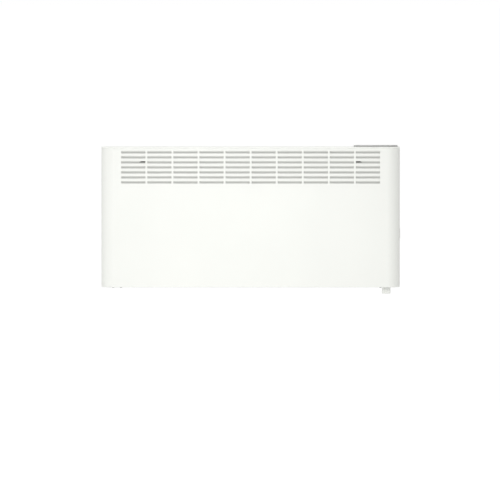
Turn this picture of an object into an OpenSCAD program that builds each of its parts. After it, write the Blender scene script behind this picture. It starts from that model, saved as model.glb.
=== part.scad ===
// Wall convector heater: a folded steel casing with a louvred outlet, hung on a wall bracket.
// Right-handed, millimetres, +Z up. The wall is the plane y = 0 and the front faces -Y.
// The origin is the centre of the bracket's four wall screws.

/* [Casing] */
// Width of the casing
casing_w = 894; // [760:1:1200]
// Height of the casing without the control unit
casing_h = 420; // [380:1:480]
// Depth of the casing from its front to its rear edge
casing_d = 86; // [80:1:110]
// Gap between the casing's rear edge and the wall
wall_gap = 14; // [13:0.5:24]
// Radius of the vertical front corners
corner_r = 35; // [26:1:40]
// Thickness of the casing's steel sheet
sheet = 1; // [0.8:0.1:1.2]
// Outside radius of the sheet's folds
fold_r = 1.6; // [1.5:0.1:3]
// Width of the flanges folded inwards at the top, bottom and rear edges
flange_w = 13; // [12:0.5:16]

/* [Top cover] */
// Height of the cover's edge that shows above the seam
cover_edge_h = 3.6; // [3.4:0.1:5]
// Rounding of the cover's top edge
cover_edge_r = 3; // [2:0.1:3.2]
// Thickness of the cover's sheet
cover_sheet = 1.2; // [1:0.1:1.4]
// Open seam between the cover and the casing
seam_gap = 0.2; // [0.2:0.05:0.5]
// Depth of the lip that centres the cover in the casing
cover_lip_h = 8; // [6:0.5:9]
// Height of the flange that holds the cover to the rear panel
cover_flange_h = 20; // [18:0.5:24]

/* [Grille] */
// Distance between neighbouring columns of slots
column_pitch = 78; // [70:1:86]
// Least plain width left beside the grille
grille_margin = 52; // [48:1:58]
// Number of rows of slots
grille_rows = 7; // [5:1:8]
// Distance between neighbouring rows of slots
row_pitch = 15; // [14:0.5:16]
// Width of a slot
slot_w = 72.5; // [62:0.5:74]
// Height of a slot
slot_h = 7.7; // [6:0.1:8.5]
// Corner radius of a slot
slot_r = 1.2; // [0.6:0.1:2]
// Centre of the top row below the casing's top
first_row_drop = 14.5; // [13.5:0.5:18]
// Thickness of a louvre slat and of the ribs that carry it
slat_sheet = 0.8; // [0.6:0.1:1]
// Slope of the slats below the horizontal
slat_angle = 60; // [52:1:66]
// How far a slat reaches below its slot, so that nothing shows behind it
slat_hide = 2; // [1:0.25:3]

/* [Wall bracket] */
// Row of slots, counted from the top, through which the locks are turned
lock_row = 3; // [3:1:4]
// Width of the notch in a slat in front of a lock
lock_notch_w = 19.2; // [16:0.2:22]
// Distance of the wall screws below the locks
screws_below_lock = 3.5; // [0:0.5:6]
// Distance between the left and the right wall screws
screw_spacing_x = 440; // [380:5:480]
// Distance between the upper and the lower wall screws
screw_spacing_z = 20; // [16:0.5:24]
// Diameter of the wall screw holes
screw_hole_d = 5.5; // [4.5:0.1:6]
// Height of the rail
rail_h = 42; // [38:1:46]
// Width of an arm
arm_w = 36; // [34:1:42]
// Thickness of the bracket's steel
bracket_sheet = 1.5; // [1.2:0.1:2]
// Height of the hooks' seat above the casing's bottom edge
hook_seat_h = 84; // [70:1:120]
// Width of a hook
hook_w = 20; // [14:1:24]
// Height of the hook's upturned lip
hook_lip_h = 9; // [7:0.5:12]

/* [Locks] */
// Diameter of the lock's shaft
lock_d = 9.6; // [8.8:0.1:10.2]
// Length of the lock's cross head
lock_head_l = 19; // [16:0.5:21]
// Thickness of the lock's cross head
lock_head_t = 3; // [2.5:0.1:3.4]
// Diameter of the lock's knob inside the casing
lock_knob_d = 22; // [18:0.5:26]

/* [Wall spacers] */
// Distance of each spacer's middle from the casing's side
spacer_inset = 46; // [44:1:90]
// Distance between a spacer's two legs
leg_spacing = 23; // [20:0.5:26]
// Width of a leg
leg_w = 6; // [5:0.25:7]
// How far the rubber tips hang below the casing
tip_drop = 5.5; // [3:0.1:6]
// Wall of a rubber tip
tip_wall = 1.4; // [1:0.1:1.8]

/* [Bottom grille] */
// Distance between neighbouring intake slots along the casing
intake_pitch = 39; // [34:1:44]
// Length of an intake slot
intake_l = 31; // [24:0.5:32]
// Width of an intake slot
intake_w = 7; // [6:0.25:8]
// Number of rows of intake slots
intake_rows = 4; // [3:1:4]
// Distance between neighbouring rows of intake slots
intake_row_pitch = 12.5; // [11:0.25:13.5]

/* [Heating element] */
// Diameter of the heating tube
tube_d = 8.5; // [7.5:0.1:9.5]
// Distance between the tube's two runs
tube_spacing = 36; // [30:1:40]
// Height of the lower run above the casing's bottom edge
tube_h = 62; // [58:1:90]
// Distance of the element behind the casing's front
element_behind_front = 42; // [40:1:48]
// Height of a fin
fin_h = 72; // [60:1:76]
// Depth of a fin
fin_d = 48; // [40:1:52]
// Thickness of a fin
fin_t = 0.6; // [0.4:0.1:0.8]
// Distance between neighbouring fins
fin_pitch = 9; // [7:0.5:12]
// Plain tube left between the end plates and the outer fins
fin_margin = 14; // [12:0.5:24]
// Distance of the left end plate from the casing's side
end_plate_inset = 56; // [50:1:70]
// Distance of the electronics chamber's wall from the axis of the lock beside it
chamber_from_lock = 23.35; // [23.2:0.05:24.5]
// Thickness of the end plates
plate_sheet = 0.8; // [0.6:0.1:1]
// Height of the left end plate's top above the casing's bottom edge
end_plate_top = 300; // [280:1:320]
// Outside diameter of a ceramic bushing
bushing_d = 14; // [12:0.5:16]
// Gap between the heat shield and the rear panel
shield_gap = 10; // [8:0.5:12]
// Height of the heat shield's top above the casing's bottom edge
shield_top = 270; // [220:1:290]

/* [Control unit] */
// Length of the control unit
control_l = 132; // [128:1:138]
// Depth of the control unit, and twice the radius of its left end
control_d = 54; // [50:0.5:58]
// How far the control unit stands above the cover
control_rise = 4.2; // [3.8:0.1:6]
// Distance from the casing's right side to the control unit
control_side_gap = 6.5; // [5:0.5:8]
// Distance from the casing's front to the control unit
control_front_gap = 20; // [16:0.5:21]
// Wall of the control unit's housing
control_wall = 1.8; // [1.6:0.1:2.4]
// Rounding of the housing's top edge
control_edge_r = 1.4; // [0.8:0.1:1.6]
// Depth of the tray below the cover
tray_depth = 21; // [19:0.5:24]
// Length of the display window
window_l = 40; // [34:0.5:44]
// Width of the display window
window_w = 22; // [18:0.5:26]
// Diameter of a key
key_d = 10; // [8:0.5:10.5]
// Distance between neighbouring keys
key_pitch = 15; // [14:0.25:15.5]
// Travel of a key
key_travel = 0.8; // [0.5:0.1:1]
// How far a key stands above the housing
key_proud = 0.6; // [0.4:0.1:0.8]

/* [Rocker switch] */
// Height of the switch's centre above the casing's bottom edge
switch_h = 159; // [150:1:166]
// Distance of the switch's centre from the casing's rear edge
switch_from_rear = 26; // [22:1:36]
// Length of the switch's bezel
bezel_l = 29.4; // [28:0.2:31]
// Width of the switch's bezel
bezel_w = 15; // [14:0.5:17]
// How far the bezel stands out of the side
bezel_t = 0.9; // [0.7:0.1:1.4]
// Border of the bezel around the cut-out in the side
bezel_border = 1; // [0.8:0.1:1.4]
// Wall of the switch's body
switch_wall = 1.2; // [1:0.1:1.4]
// Depth of the switch's body behind the side
switch_depth = 21; // [18:0.5:24]
// Turn of the rocker from one position to the other
rocker_turn = 14; // [10:1:16]
// Diameter of the rocker's pivot
pivot_d = 3; // [2.6:0.1:3.4]

/* [Room sensor] */
// Distance of the sensor housing's centre from the casing's side
sensor_inset = 40.5; // [40:0.5:46]
// Width of the sensor housing
sensor_w = 25; // [22:0.5:27]
// Depth of the sensor housing
sensor_d = 22; // [18:0.5:24]
// Height of the sensor housing below the casing
sensor_drop = 20.5; // [16:0.5:21]
// Distance of the sensor housing's centre behind the casing's front
sensor_behind_front = 45; // [40:1:50]
// Wall of the sensor housing
sensor_wall = 1.6; // [1.4:0.1:2]

/* [Electronics] */
// Length of the power board
board_l = 106; // [100:1:110]
// Height of the power board
board_h = 96; // [90:1:104]
// Thickness of the circuit boards
board_t = 1.6; // [1.2:0.1:2]
// Height of the power board's lower edge above the casing's bottom edge
board_bottom_h = 196; // [192:1:204]
// Length of the standoffs under the power board
standoff_l = 10; // [8:0.5:14]
// Diameter of the standoffs
standoff_d = 7; // [6:0.5:8]
// Height of the cable gland above the casing's bottom edge
gland_h = 52; // [46:1:60]
// Distance of the cable gland from the casing's side
gland_inset = 62; // [58:1:70]
// Diameter of the cable that the gland takes
gland_bore_d = 8.6; // [7:0.1:10]
// Wall of the gland
gland_wall = 3; // [2.4:0.1:3.4]
// Diameter of a lead
lead_d = 2.6; // [2:0.1:3]

/* [Screws] */
// Diameter of the small sheet screws' shanks
screw_d = 3; // [2.6:0.1:3.4]
// Length of the small sheet screws' shanks
screw_l = 6; // [5:0.5:7]

/* [Fits] */
// Gap around pieces that are pushed together by hand
fit_gap = 0.3; // [0.2:0.05:0.4]
// Radial clearance of a shaft that turns in its bore
running_gap = 0.05; // [0.02:0.01:0.09]

/* [Hidden] */
$fn = 64;
tiny = 0.01;

// Casing planes. Heights written as *_h count from the casing's bottom edge.
half_w = casing_w / 2;
rear_y = -wall_gap;
front_y = rear_y - casing_d;
grille_columns = floor((casing_w - 2 * grille_margin) / column_pitch);
lock_h = casing_h - first_row_drop - (lock_row - 1) * row_pitch;
rail_mid_h = lock_h - screws_below_lock;
base_z = -rail_mid_h;
wall_top_h = casing_h - cover_edge_h - seam_gap;
cover_under_h = casing_h - cover_sheet;
panel_front_y = rear_y - 2 * sheet;
panel_back_y = rear_y - sheet;
panel_margin = 1;
panel_top_h = cover_under_h - cover_lip_h - fit_gap;
panel_half_w = half_w - fold_r;

// Bars of the grille, and the locks beside the inner bar of the outer columns
grille_l = grille_columns * column_pitch;
bar_w = column_pitch - slot_w;
lock_x = grille_l / 2 - column_pitch + bar_w / 2 + lock_notch_w / 2;
bottom_row_h = casing_h - first_row_drop - (grille_rows - 1) * row_pitch;

// Bracket and locks
arm_face_y = panel_back_y + fit_gap;
hook_open_h = hook_lip_h + 2 * bracket_sheet + 3;
lock_slot_h = lock_d + 1;
lock_slot_l = lock_head_l + 1.4;
shield_y = panel_front_y - shield_gap;

// Element and electronics chamber
element_y = front_y + element_behind_front;
partition_x = lock_x - chamber_from_lock;
left_plate_x = -half_w + end_plate_inset;
plate_front_y = front_y + 14;
plate_bottom_h = 2 * sheet;
tube_top_h = tube_h + tube_spacing;
bend_r = tube_spacing / 2;
tube_end_x = partition_x + 26;
bushing_l = 16;
fin_run = partition_x - left_plate_x - 2 * fin_margin;
fin_count = floor(fin_run / fin_pitch) + 1;
fin_first_x = left_plate_x + fin_margin + (fin_run - (fin_count - 1) * fin_pitch) / 2;

// Control unit
control_right_x = half_w - control_side_gap;
control_left_x = control_right_x - control_l;
control_front_y = front_y + control_front_gap;
control_rear_y = control_front_y + control_d;
control_mid_y = control_front_y + control_d / 2;
control_end_r = control_d / 2;
control_corner_r = corner_r - control_side_gap;
control_rear_r = 8;
control_top_h = casing_h + control_rise;
board_top_h = casing_h - 8;
window_x = control_left_x + control_end_r - 9;
keys_x = window_x + window_l + 9;
key_bore_r = key_d / 2 + fit_gap;
key_flange_t = 1.2;
key_flange_r = key_bore_r + 0.7;
tray_left_x = control_left_x + 12;
tray_right_x = control_right_x - 11;
tray_front_y = control_front_y + 9;
tray_rear_y = control_rear_y - 9;
tray_floor_h = casing_h - tray_depth;
tray_rim_t = 1.2;
tray_post_d = 5;

// Switch
switch_y = rear_y - switch_from_rear;
switch_cut_l = bezel_l - 2 * bezel_border;
switch_cut_w = bezel_w - 2 * bezel_border;
switch_body_l = switch_cut_l - fit_gap;
switch_body_w = switch_cut_w - fit_gap;
rocker_l = switch_body_l - 2 * switch_wall;
rocker_w = switch_body_w - 2 * switch_wall - 2 * fit_gap;
pivot_x = half_w - 5;

// Sensor
sensor_x = half_w - sensor_inset;
sensor_y = front_y + sensor_behind_front;
sensor_r = 5;

// Electronics
board_left_x = partition_x + 18;
board_back_y = panel_front_y - standoff_l;
board_face_y = board_back_y - board_t;
hole_inset = 6;
header_xs = [20, 41, 62, 83];
header_l = 15;
gland_x = half_w - gland_inset;
gland_r = gland_bore_d / 2 + gland_wall;
block_h = 96;
block_x = gland_x;

// Colours
white_paint = [0.96, 0.96, 0.94];
zinc = [0.72, 0.74, 0.75];
pale_grey = [0.74, 0.74, 0.73];
black_plastic = [0.08, 0.08, 0.085];
steel = [0.62, 0.62, 0.6];
nylon = [0.9, 0.9, 0.87];
board_green = [0.1, 0.4, 0.2];

// Rounded rectangle with true arcs, centred
module soft_rect(l, h, r) {
    square([l - 2 * r, h], center = true);
    square([l, h - 2 * r], center = true);
    for (sx = [-1, 1])
        for (sy = [-1, 1])
            translate([sx * (l / 2 - r), sy * (h / 2 - r)]) circle(r);
}

// Quarter of a ring, from angle start to start + 90
module quarter_fold(r, t, start) {
    intersection() {
        difference() {
            circle(r);
            circle(r - t);
        }
        rotate(start) square(r);
    }
}

// Outline of the casing seen from above, drawn in by inset
module casing_plan(inset) {
    r = corner_r - inset;
    translate([inset - half_w, front_y + corner_r])
        square([casing_w - 2 * inset, casing_d - corner_r]);
    translate([corner_r - half_w, front_y + inset])
        square([casing_w - 2 * corner_r, r]);
    for (s = [-1, 1])
        translate([s * (half_w - corner_r), front_y + corner_r])
            intersection() {
                circle(r);
                translate([s > 0 ? 0 : -r, -r]) square(r);
            }
}

// Sweeps a section (x outwards, y upwards) along arcs [x, y, radius, start angle, end angle]
// that run anticlockwise, and along the straights between them.
module follow(arcs, head = 0, tail = 0, closed = false) {
    last = len(arcs) - 1;
    for (i = [0 : last]) {
        a = arcs[i];
        b = arcs[i == last ? 0 : i + 1];
        p = arc_point(a, a[4]);
        q = arc_point(b, b[3]);
        translate([a[0], a[1]]) rotate([0, 0, a[3]])
            rotate_extrude(angle = a[4] - a[3]) translate([a[2], 0]) children();
        if (i < last || closed)
            straight(q, a[4], norm(q - p)) children();
    }
    if (head > 0)
        straight(arc_point(arcs[0], arcs[0][3]), arcs[0][3], head) children();
    if (tail > 0) {
        end = arcs[last];
        turn = [-sin(end[4]), cos(end[4])];
        straight(arc_point(end, end[4]) + tail * turn, end[4], tail) children();
    }
}
function arc_point(a, angle) = [a[0] + a[2] * cos(angle), a[1] + a[2] * sin(angle)];

// Straight stretch of a section that ends at a point, with its outside towards an angle
module straight(end, outward, length) {
    translate([end[0], end[1]]) rotate([90, 0, outward]) linear_extrude(length) children();
}

// Plate that stands across the casing: drawn as x and height, from y_back forwards by t
module upright(y_back, t) {
    translate([0, y_back, base_z]) rotate([90, 0, 0]) linear_extrude(t) children();
}

// Drawn in plan, from a height upwards by t
module level(h, t) {
    translate([0, 0, base_z + h]) linear_extrude(t) children();
}

// Round bar or hole along +Y from a point given as x, y and height
module bar_y(x, y, h, d, l) {
    translate([x, y, base_z + h]) rotate([-90, 0, 0]) cylinder(d = d, h = l);
}

// Block given by its corner (x, y, height) and size
module block(at, size) {
    translate([at[0], at[1], base_z + at[2]]) cube(size);
}

// Pan-head screw whose head rests on the plane y and whose shank points to -Y
screw_head_d = 2 * screw_d;
module pan_screw(x, y, h) {
    head_h = 0.7 * screw_d;
    difference() {
        union() {
            bar_y(x, y - screw_l, h, screw_d, screw_l + tiny);
            bar_y(x, y, h, screw_head_d, head_h);
        }
        for (a = [0, 90])
            translate([x, y + head_h, base_z + h]) rotate([0, a, 0])
                cube([0.6 * screw_head_d, head_h, 0.2 * screw_d], center = true);
    }
}

casing_arcs = [
    [corner_r - half_w, front_y + corner_r, corner_r, 180, 270],
    [half_w - corner_r, front_y + corner_r, corner_r, 270, 360]
];

// Wall of the casing with its folded top and bottom flanges
module casing_section() {
    translate([-sheet, fold_r]) square([sheet, wall_top_h - 2 * fold_r]);
    translate([-fold_r, fold_r]) quarter_fold(fold_r, sheet, 270);
    translate([-flange_w, 0]) square([flange_w - fold_r, sheet]);
    translate([-fold_r, wall_top_h - fold_r]) quarter_fold(fold_r, sheet, 0);
    translate([-flange_w, wall_top_h - sheet]) square([flange_w - fold_r, sheet]);
}

function column_x(i) = (i - (grille_columns - 1) / 2) * column_pitch;
function row_h(i) = casing_h - first_row_drop - i * row_pitch;
side_screw_count = 3;
function side_screw_h(i) = 60 + i * (panel_top_h - 130) / (side_screw_count - 1);
side_screw_x = half_w - flange_w / 2 - 0.5;

module front_casing() {
    side_run = casing_d - corner_r - fold_r;
    relief = 3;
    color(white_paint) difference() {
        union() {
            translate([0, 0, base_z])
                follow(casing_arcs, head = side_run, tail = side_run) casing_section();
            level(fold_r + relief, wall_top_h - 2 * (fold_r + relief))
                for (s = [0, 1]) mirror([s, 0]) {
                    translate([half_w - fold_r, rear_y - fold_r]) quarter_fold(fold_r, sheet, 0);
                    translate([half_w - flange_w, rear_y - sheet])
                        square([flange_w - fold_r, sheet]);
                }
        }
        for (i = [0 : grille_columns - 1])
            for (j = [0 : grille_rows - 1])
                translate([column_x(i), 0, row_h(j)])
                    upright(front_y + 2 * sheet, 3 * sheet) soft_rect(slot_w, slot_h, slot_r);
        block([half_w - 2 * sheet, switch_y - switch_cut_w / 2, switch_h - switch_cut_l / 2],
            [3 * sheet, switch_cut_w, switch_cut_l]);
        for (s = [-1, 1])
            for (i = [0 : side_screw_count - 1])
                bar_y(s * side_screw_x, rear_y - 2 * sheet, side_screw_h(i),
                    screw_d + 2 * running_gap, 3 * sheet);
    }
}

// Rounded edge of the cover, its skirt and the lip inside the casing
module cover_section() {
    lip_x = -flange_w - fit_gap - cover_sheet;
    translate([-cover_sheet, wall_top_h + seam_gap])
        square([cover_sheet, cover_edge_h - cover_edge_r]);
    translate([-cover_edge_r, casing_h - cover_edge_r])
        quarter_fold(cover_edge_r, cover_sheet, 0);
    translate([lip_x, cover_under_h]) square([-lip_x - cover_edge_r, cover_sheet]);
    translate([lip_x, cover_under_h - cover_lip_h])
        square([cover_sheet, cover_lip_h + cover_sheet]);
}

cover_screw_count = 5;
cover_flange_half_w = half_w - flange_w - 2 * fit_gap;
function cover_screw_x(i) =
    (i / (cover_screw_count - 1) - 0.5) * 2 * (cover_flange_half_w - 22);
cover_screw_h = cover_under_h - cover_flange_h + 5;

module top_cover() {
    color(white_paint) difference() {
        union() {
            translate([0, 0, base_z])
                follow(casing_arcs, head = casing_d - corner_r, tail = casing_d - corner_r)
                    cover_section();
            level(cover_under_h, cover_sheet) casing_plan(flange_w - 1);
            block([-cover_flange_half_w, rear_y - sheet, cover_under_h - cover_flange_h],
                [2 * cover_flange_half_w, sheet, cover_flange_h + tiny]);
        }
        level(cover_under_h - 1, cover_sheet + 2) tray_plan(fit_gap);
        for (i = [0 : cover_screw_count - 1])
            bar_y(cover_screw_x(i), rear_y - 2 * sheet, cover_screw_h,
                screw_d + 2 * running_gap, 3 * sheet);
    }
}

module tray_plan(grow) {
    l = tray_right_x - tray_left_x;
    w = tray_rear_y - tray_front_y;
    translate([tray_left_x + l / 2, tray_front_y + w / 2])
        soft_rect(l + 2 * grow, w + 2 * grow, 8 + grow);
}

// Slats behind the slots. Each starts at its slot's upper edge and runs down and backwards.
module louvre_insert() {
    slat_fall = slot_h + slat_hide;
    slat_run = slat_fall / tan(slat_angle);
    face_y = front_y + sheet;
    slat_rise = slat_sheet / cos(slat_angle);
    half_l = grille_l / 2;
    rib_d = slat_run + 1;
    rib_low_h = bottom_row_h - slot_h / 2 - slat_hide - 1;
    rib_high_h = row_h(0) + slot_h / 2 + slat_rise + 0.6;
    notch_x = lock_notch_w / 2;
    notch_low = -1;
    notch_top = 2.2;
    color(white_paint) difference() {
        union() {
            for (j = [0 : grille_rows - 1])
                translate([-half_l, face_y, base_z + row_h(j) + slot_h / 2])
                    rotate([90, 0, 90]) linear_extrude(grille_l)
                        polygon([
                            [0, 0], [slat_run, -slat_fall],
                            [slat_run, slat_rise - slat_fall], [0, slat_rise]
                        ]);
            for (i = [0 : grille_columns])
                block([column_x(i) - column_pitch / 2 - slat_sheet / 2, face_y, rib_low_h],
                    [slat_sheet, rib_d, rib_high_h - rib_low_h]);
        }
        for (s = [-1, 1])
            translate([s * lock_x, face_y + slat_run, base_z + lock_h]) rotate([90, 0, 0])
                linear_extrude(slat_run + 1)
                    polygon([
                        [s * (0.5 - notch_x), notch_low], [s * (0.5 - notch_x), notch_top],
                        [s * notch_x / 3, notch_top], [s * notch_x, notch_low]
                    ]);
    }
}

hook_slot_w = hook_w + 4;
floor_screw_h = 8;
floor_lip_h = 12;
floor_screw_xs = [for (i = [-1.5 : 1.5]) i * 180];
bead_w = 9;
bead_t = 1.5;

// Stiffening bead pressed towards the wall: the raised side, or the hollow inside it
module bead(h, l, hollow) {
    w = hollow ? bead_w - 2 * sheet : bead_w;
    upright(panel_back_y + bead_t - (hollow ? sheet : 0), bead_t + (hollow ? 1 : 0)) {
        translate([0, h]) square([l, w], center = true);
        for (s = [-1, 1]) translate([s * l / 2, h]) circle(w / 2);
    }
}

module rear_panel() {
    bead_l = 2 * lock_x - 110;
    bead_heights = [130, 190, 250];
    vent_w = 5;
    color(zinc) difference() {
        union() {
            upright(panel_back_y, sheet) {
                translate([-panel_half_w, panel_margin + sheet])
                    square([2 * panel_half_w, panel_top_h - panel_margin - sheet]);
            }
            for (h = bead_heights) bead(h, bead_l, false);
        }
        for (h = bead_heights) bead(h, bead_l, true);
        for (s = [-1, 1]) {
            bar_y(s * lock_x, panel_front_y - 1, lock_h, lock_d + 2 * running_gap, sheet + 2);
            block([s * lock_x - hook_slot_w / 2, panel_front_y - 1, hook_seat_h - hook_open_h],
                [hook_slot_w, sheet + 2, hook_open_h]);
            for (i = [0 : side_screw_count - 1])
                bar_y(s * side_screw_x, panel_front_y - 1, side_screw_h(i),
                    screw_d + 2 * running_gap, sheet + 2);
            for (dx = [-1, 1])
                bar_y(s * spacer_x + dx * spacer_screw_dx, panel_front_y - 1, spacer_screw_h,
                    screw_d + 2 * running_gap, sheet + 2);
        }
        for (i = [0 : cover_screw_count - 1])
            bar_y(cover_screw_x(i), panel_front_y - 1, cover_screw_h,
                screw_d + 2 * running_gap, sheet + 2);
        for (x = floor_screw_xs)
            bar_y(x, panel_front_y - 1, floor_screw_h, screw_d + 2 * running_gap, sheet + 2);
        for (sx = [0, 1])
            for (sh = [0, 1])
                bar_y(board_hole_x(sx), panel_front_y - 1, board_hole_h(sh),
                    screw_d + 2 * running_gap, sheet + 2);
        bar_y(gland_x, panel_front_y - 1, gland_h, 2 * (gland_r + running_gap), sheet + 2);
        for (i = [-6 : 6])
            translate([i * intake_pitch, 0, 40])
                upright(panel_back_y + 1, sheet + 2) soft_rect(intake_l, vent_w, vent_w / 2 - tiny);
    }
}

// Floor of the casing, with the slots through which cold air enters
module bottom_grille() {
    inset = fold_r;
    floor_d = casing_d - 2 * sheet - inset;
    first_y = front_y + inset + (floor_d - (intake_rows - 1) * intake_row_pitch) / 2;
    slot_count = floor((sensor_x - sensor_w + half_w - 44) / intake_pitch);
    color(zinc) difference() {
        union() {
            level(sheet, sheet) intersection() {
                casing_plan(inset);
                translate([-half_w, front_y]) square([casing_w, casing_d - 2 * sheet]);
            }
            block([-panel_half_w, panel_front_y - sheet, sheet], [2 * panel_half_w, sheet, floor_lip_h]);
        }
        for (i = [0 : slot_count - 1])
            for (j = [0 : intake_rows - 1])
                level(0, 3 * sheet)
                    translate([44 - half_w + (i + 0.5) * intake_pitch,
                        first_y + j * intake_row_pitch])
                        soft_rect(intake_l, intake_w, intake_w / 2 - tiny);
        translate([sensor_x, sensor_y, 0]) level(0, 3 * sheet)
            soft_rect(sensor_w - 6 + fit_gap, sensor_d - 6 + fit_gap, 3);
        for (x = floor_screw_xs)
            bar_y(x, panel_front_y - sheet - 1, floor_screw_h,
                screw_d + 2 * running_gap, sheet + 2);
    }
}

rivet_d = 5;
rivet_h = [-0.28, 0.28];
rail_end_x = lock_x - arm_w / 2;

// Channel across the wall with the four screw holes. Its ends are folded against the arms.
module bracket_rail() {
    t = bracket_sheet;
    depth = -arm_face_y - t - fit_gap;
    color(zinc) difference() {
        union() {
            block([-rail_end_x, -t, rail_mid_h - rail_h / 2], [2 * rail_end_x, t, rail_h]);
            for (s = [-1, 1])
                block([-rail_end_x + 3, -depth, rail_mid_h + s * (rail_h / 2 - t / 2) - t / 2],
                    [2 * rail_end_x - 6, depth, t]);
            for (s = [-1, 1])
                block([s * (rail_end_x - t / 2) - t / 2, -depth, rail_mid_h - rail_h / 2 + 4],
                    [t, depth, rail_h - 8]);
        }
        for (sx = [-1, 1])
            for (sz = [-1, 1])
                translate([sx * screw_spacing_x / 2, -t - 1, sz * screw_spacing_z / 2])
                    rotate([-90, 0, 0]) cylinder(d = screw_hole_d, h = t + 2);
        for (s = [-1, 1])
            for (f = rivet_h)
                translate([s * rail_end_x - 2 * t, -depth / 2, base_z + rail_mid_h + f * rail_h])
                    rotate([0, 90, 0]) cylinder(d = rivet_d + 2 * running_gap, h = 4 * t);
    }
}

arm_low_h = hook_seat_h - 30;
arm_high_h = lock_h + 20;

// Upright channel with the hook below and the plate for the lock above
module bracket_arm(s) {
    t = bracket_sheet;
    depth = -arm_face_y;
    rail_depth = depth - t - fit_gap;
    left = s * lock_x - arm_w / 2;
    hook_y = panel_front_y - 3 - t;
    color(zinc) difference() {
        union() {
            block([left, -t, arm_low_h], [arm_w, t, arm_high_h - arm_low_h]);
            for (e = [0, 1])
                block([left + e * (arm_w - t), -depth, arm_low_h], [t, depth, arm_high_h - arm_low_h]);
            block([left, -depth, lock_h - 20], [arm_w, t, 40]);
            block([s * lock_x - hook_w / 2, hook_y, hook_seat_h - t], [hook_w, -hook_y, t]);
            block([s * lock_x - hook_w / 2, hook_y, hook_seat_h - t], [hook_w, t, hook_lip_h + t]);
        }
        translate([s * lock_x, 0, lock_h])
            upright(t - depth + 1, t + 2) soft_rect(lock_slot_l, lock_slot_h, 2);
        for (h = [arm_low_h + 60, arm_low_h + 150, arm_low_h + 240])
            translate([s * lock_x, 0, h])
                upright(1, t + 2) soft_rect(12, 30, 5.9);
        for (f = rivet_h)
            translate([s * rail_end_x - 2 * t, -rail_depth / 2, base_z + rail_mid_h + f * rail_h])
                rotate([0, 90, 0]) cylinder(d = rivet_d + 2 * running_gap, h = 4 * t);
    }
}
module bracket_arm_left() { bracket_arm(-1); }
module bracket_arm_right() { bracket_arm(1); }

module bracket_rivets() {
    t = bracket_sheet;
    rail_depth = -arm_face_y - t - fit_gap;
    color(steel) for (s = [-1, 1])
        for (f = rivet_h)
            translate([s * rail_end_x, -rail_depth / 2, base_z + rail_mid_h + f * rail_h])
                rotate([0, s * 90, 0]) {
                    translate([0, 0, -t - 1]) cylinder(d1 = rivet_d + 1, d2 = rivet_d + 3, h = 1);
                    translate([0, 0, -t]) cylinder(d = rivet_d, h = 2 * t);
                    translate([0, 0, t]) cylinder(d1 = rivet_d + 3, d2 = rivet_d + 1, h = 1);
                }
}

// Quarter-turn lock: a slotted knob inside the casing, a shaft through the rear panel
// and a cross head behind the arm's slot. At rest the head stands across the slot.
module bracket_lock(s) {
    knob_h = 5;
    knob_y = panel_front_y - fit_gap / 3 - knob_h;
    plate_back_y = bracket_sheet + arm_face_y;
    head_y = plate_back_y + fit_gap;
    color(black_plastic) difference() {
        union() {
            bar_y(s * lock_x, knob_y, lock_h, lock_knob_d, knob_h);
            bar_y(s * lock_x, knob_y, lock_h, lock_d, head_y + lock_head_t - knob_y);
            translate([s * lock_x, 0, lock_h])
                upright(head_y + lock_head_t, lock_head_t)
                    intersection() {
                        square([lock_d, lock_head_l], center = true);
                        circle(d = lock_head_l);
                    }
        }
        block([s * lock_x - lock_knob_d / 2 + 3, knob_y - 1, lock_h - 0.8],
            [lock_knob_d - 6, 3.2, 1.6]);
    }
}
module lock_left() { bracket_lock(-1); }
module lock_right() { bracket_lock(1); }

spacer_x = half_w - spacer_inset;
spacer_screw_dx = leg_spacing / 2 + leg_w / 2 + screw_head_d / 2 + fit_gap;
spacer_plate_w = 2 * spacer_screw_dx + screw_head_d + 3;
spacer_screw_h = 18;
spacer_plate_t = 2;
leg_top_h = 24;
leg_front_y = panel_back_y + spacer_plate_t;
leg_back_y = -3;
tip_wrap = 7;

// Moulded feet that keep the heater's lower edge off the wall
module wall_spacers() {
    color(pale_grey) for (s = [-1, 1])
        difference() {
            union() {
                translate([s * spacer_x, 0, 15])
                    upright(leg_front_y, spacer_plate_t) soft_rect(spacer_plate_w, 22, 3);
                for (e = [-1, 1])
                    block([s * spacer_x + e * leg_spacing / 2 - leg_w / 2, panel_back_y,
                        tip_wall - tip_drop], [leg_w, leg_back_y - panel_back_y,
                        leg_top_h + tip_drop - tip_wall]);
                block([s * spacer_x - leg_spacing / 2, panel_back_y, leg_top_h - 8],
                    [leg_spacing, leg_back_y - 2 - panel_back_y, 2]);
            }
            for (dx = [-1, 1])
                bar_y(s * spacer_x + dx * spacer_screw_dx, panel_back_y - 1, spacer_screw_h,
                    screw_d + 2 * running_gap, spacer_plate_t + 2);
        }
}

// Rubber caps over the legs' lower ends, which rest on the wall
module spacer_tips() {
    w = leg_w + 2 * tip_wall;
    color(black_plastic) for (s = [-1, 1])
        for (e = [-1, 1])
            difference() {
                translate([s * spacer_x + e * leg_spacing / 2, 0, -tip_drop + tip_wrap])
                    upright(0, tip_wrap - leg_back_y) soft_rect(w, 2 * tip_wrap, 2);
                block([s * spacer_x + e * leg_spacing / 2 - leg_w / 2, panel_back_y,
                    tip_wall - tip_drop], [leg_w, leg_back_y - panel_back_y,
                    leg_top_h + tip_drop]);
            }
}

shield_w = partition_x - left_plate_x - 2 * plate_sheet - 8;
shield_mid_x = (partition_x + left_plate_x) / 2;
shield_low_h = 36;

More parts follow.
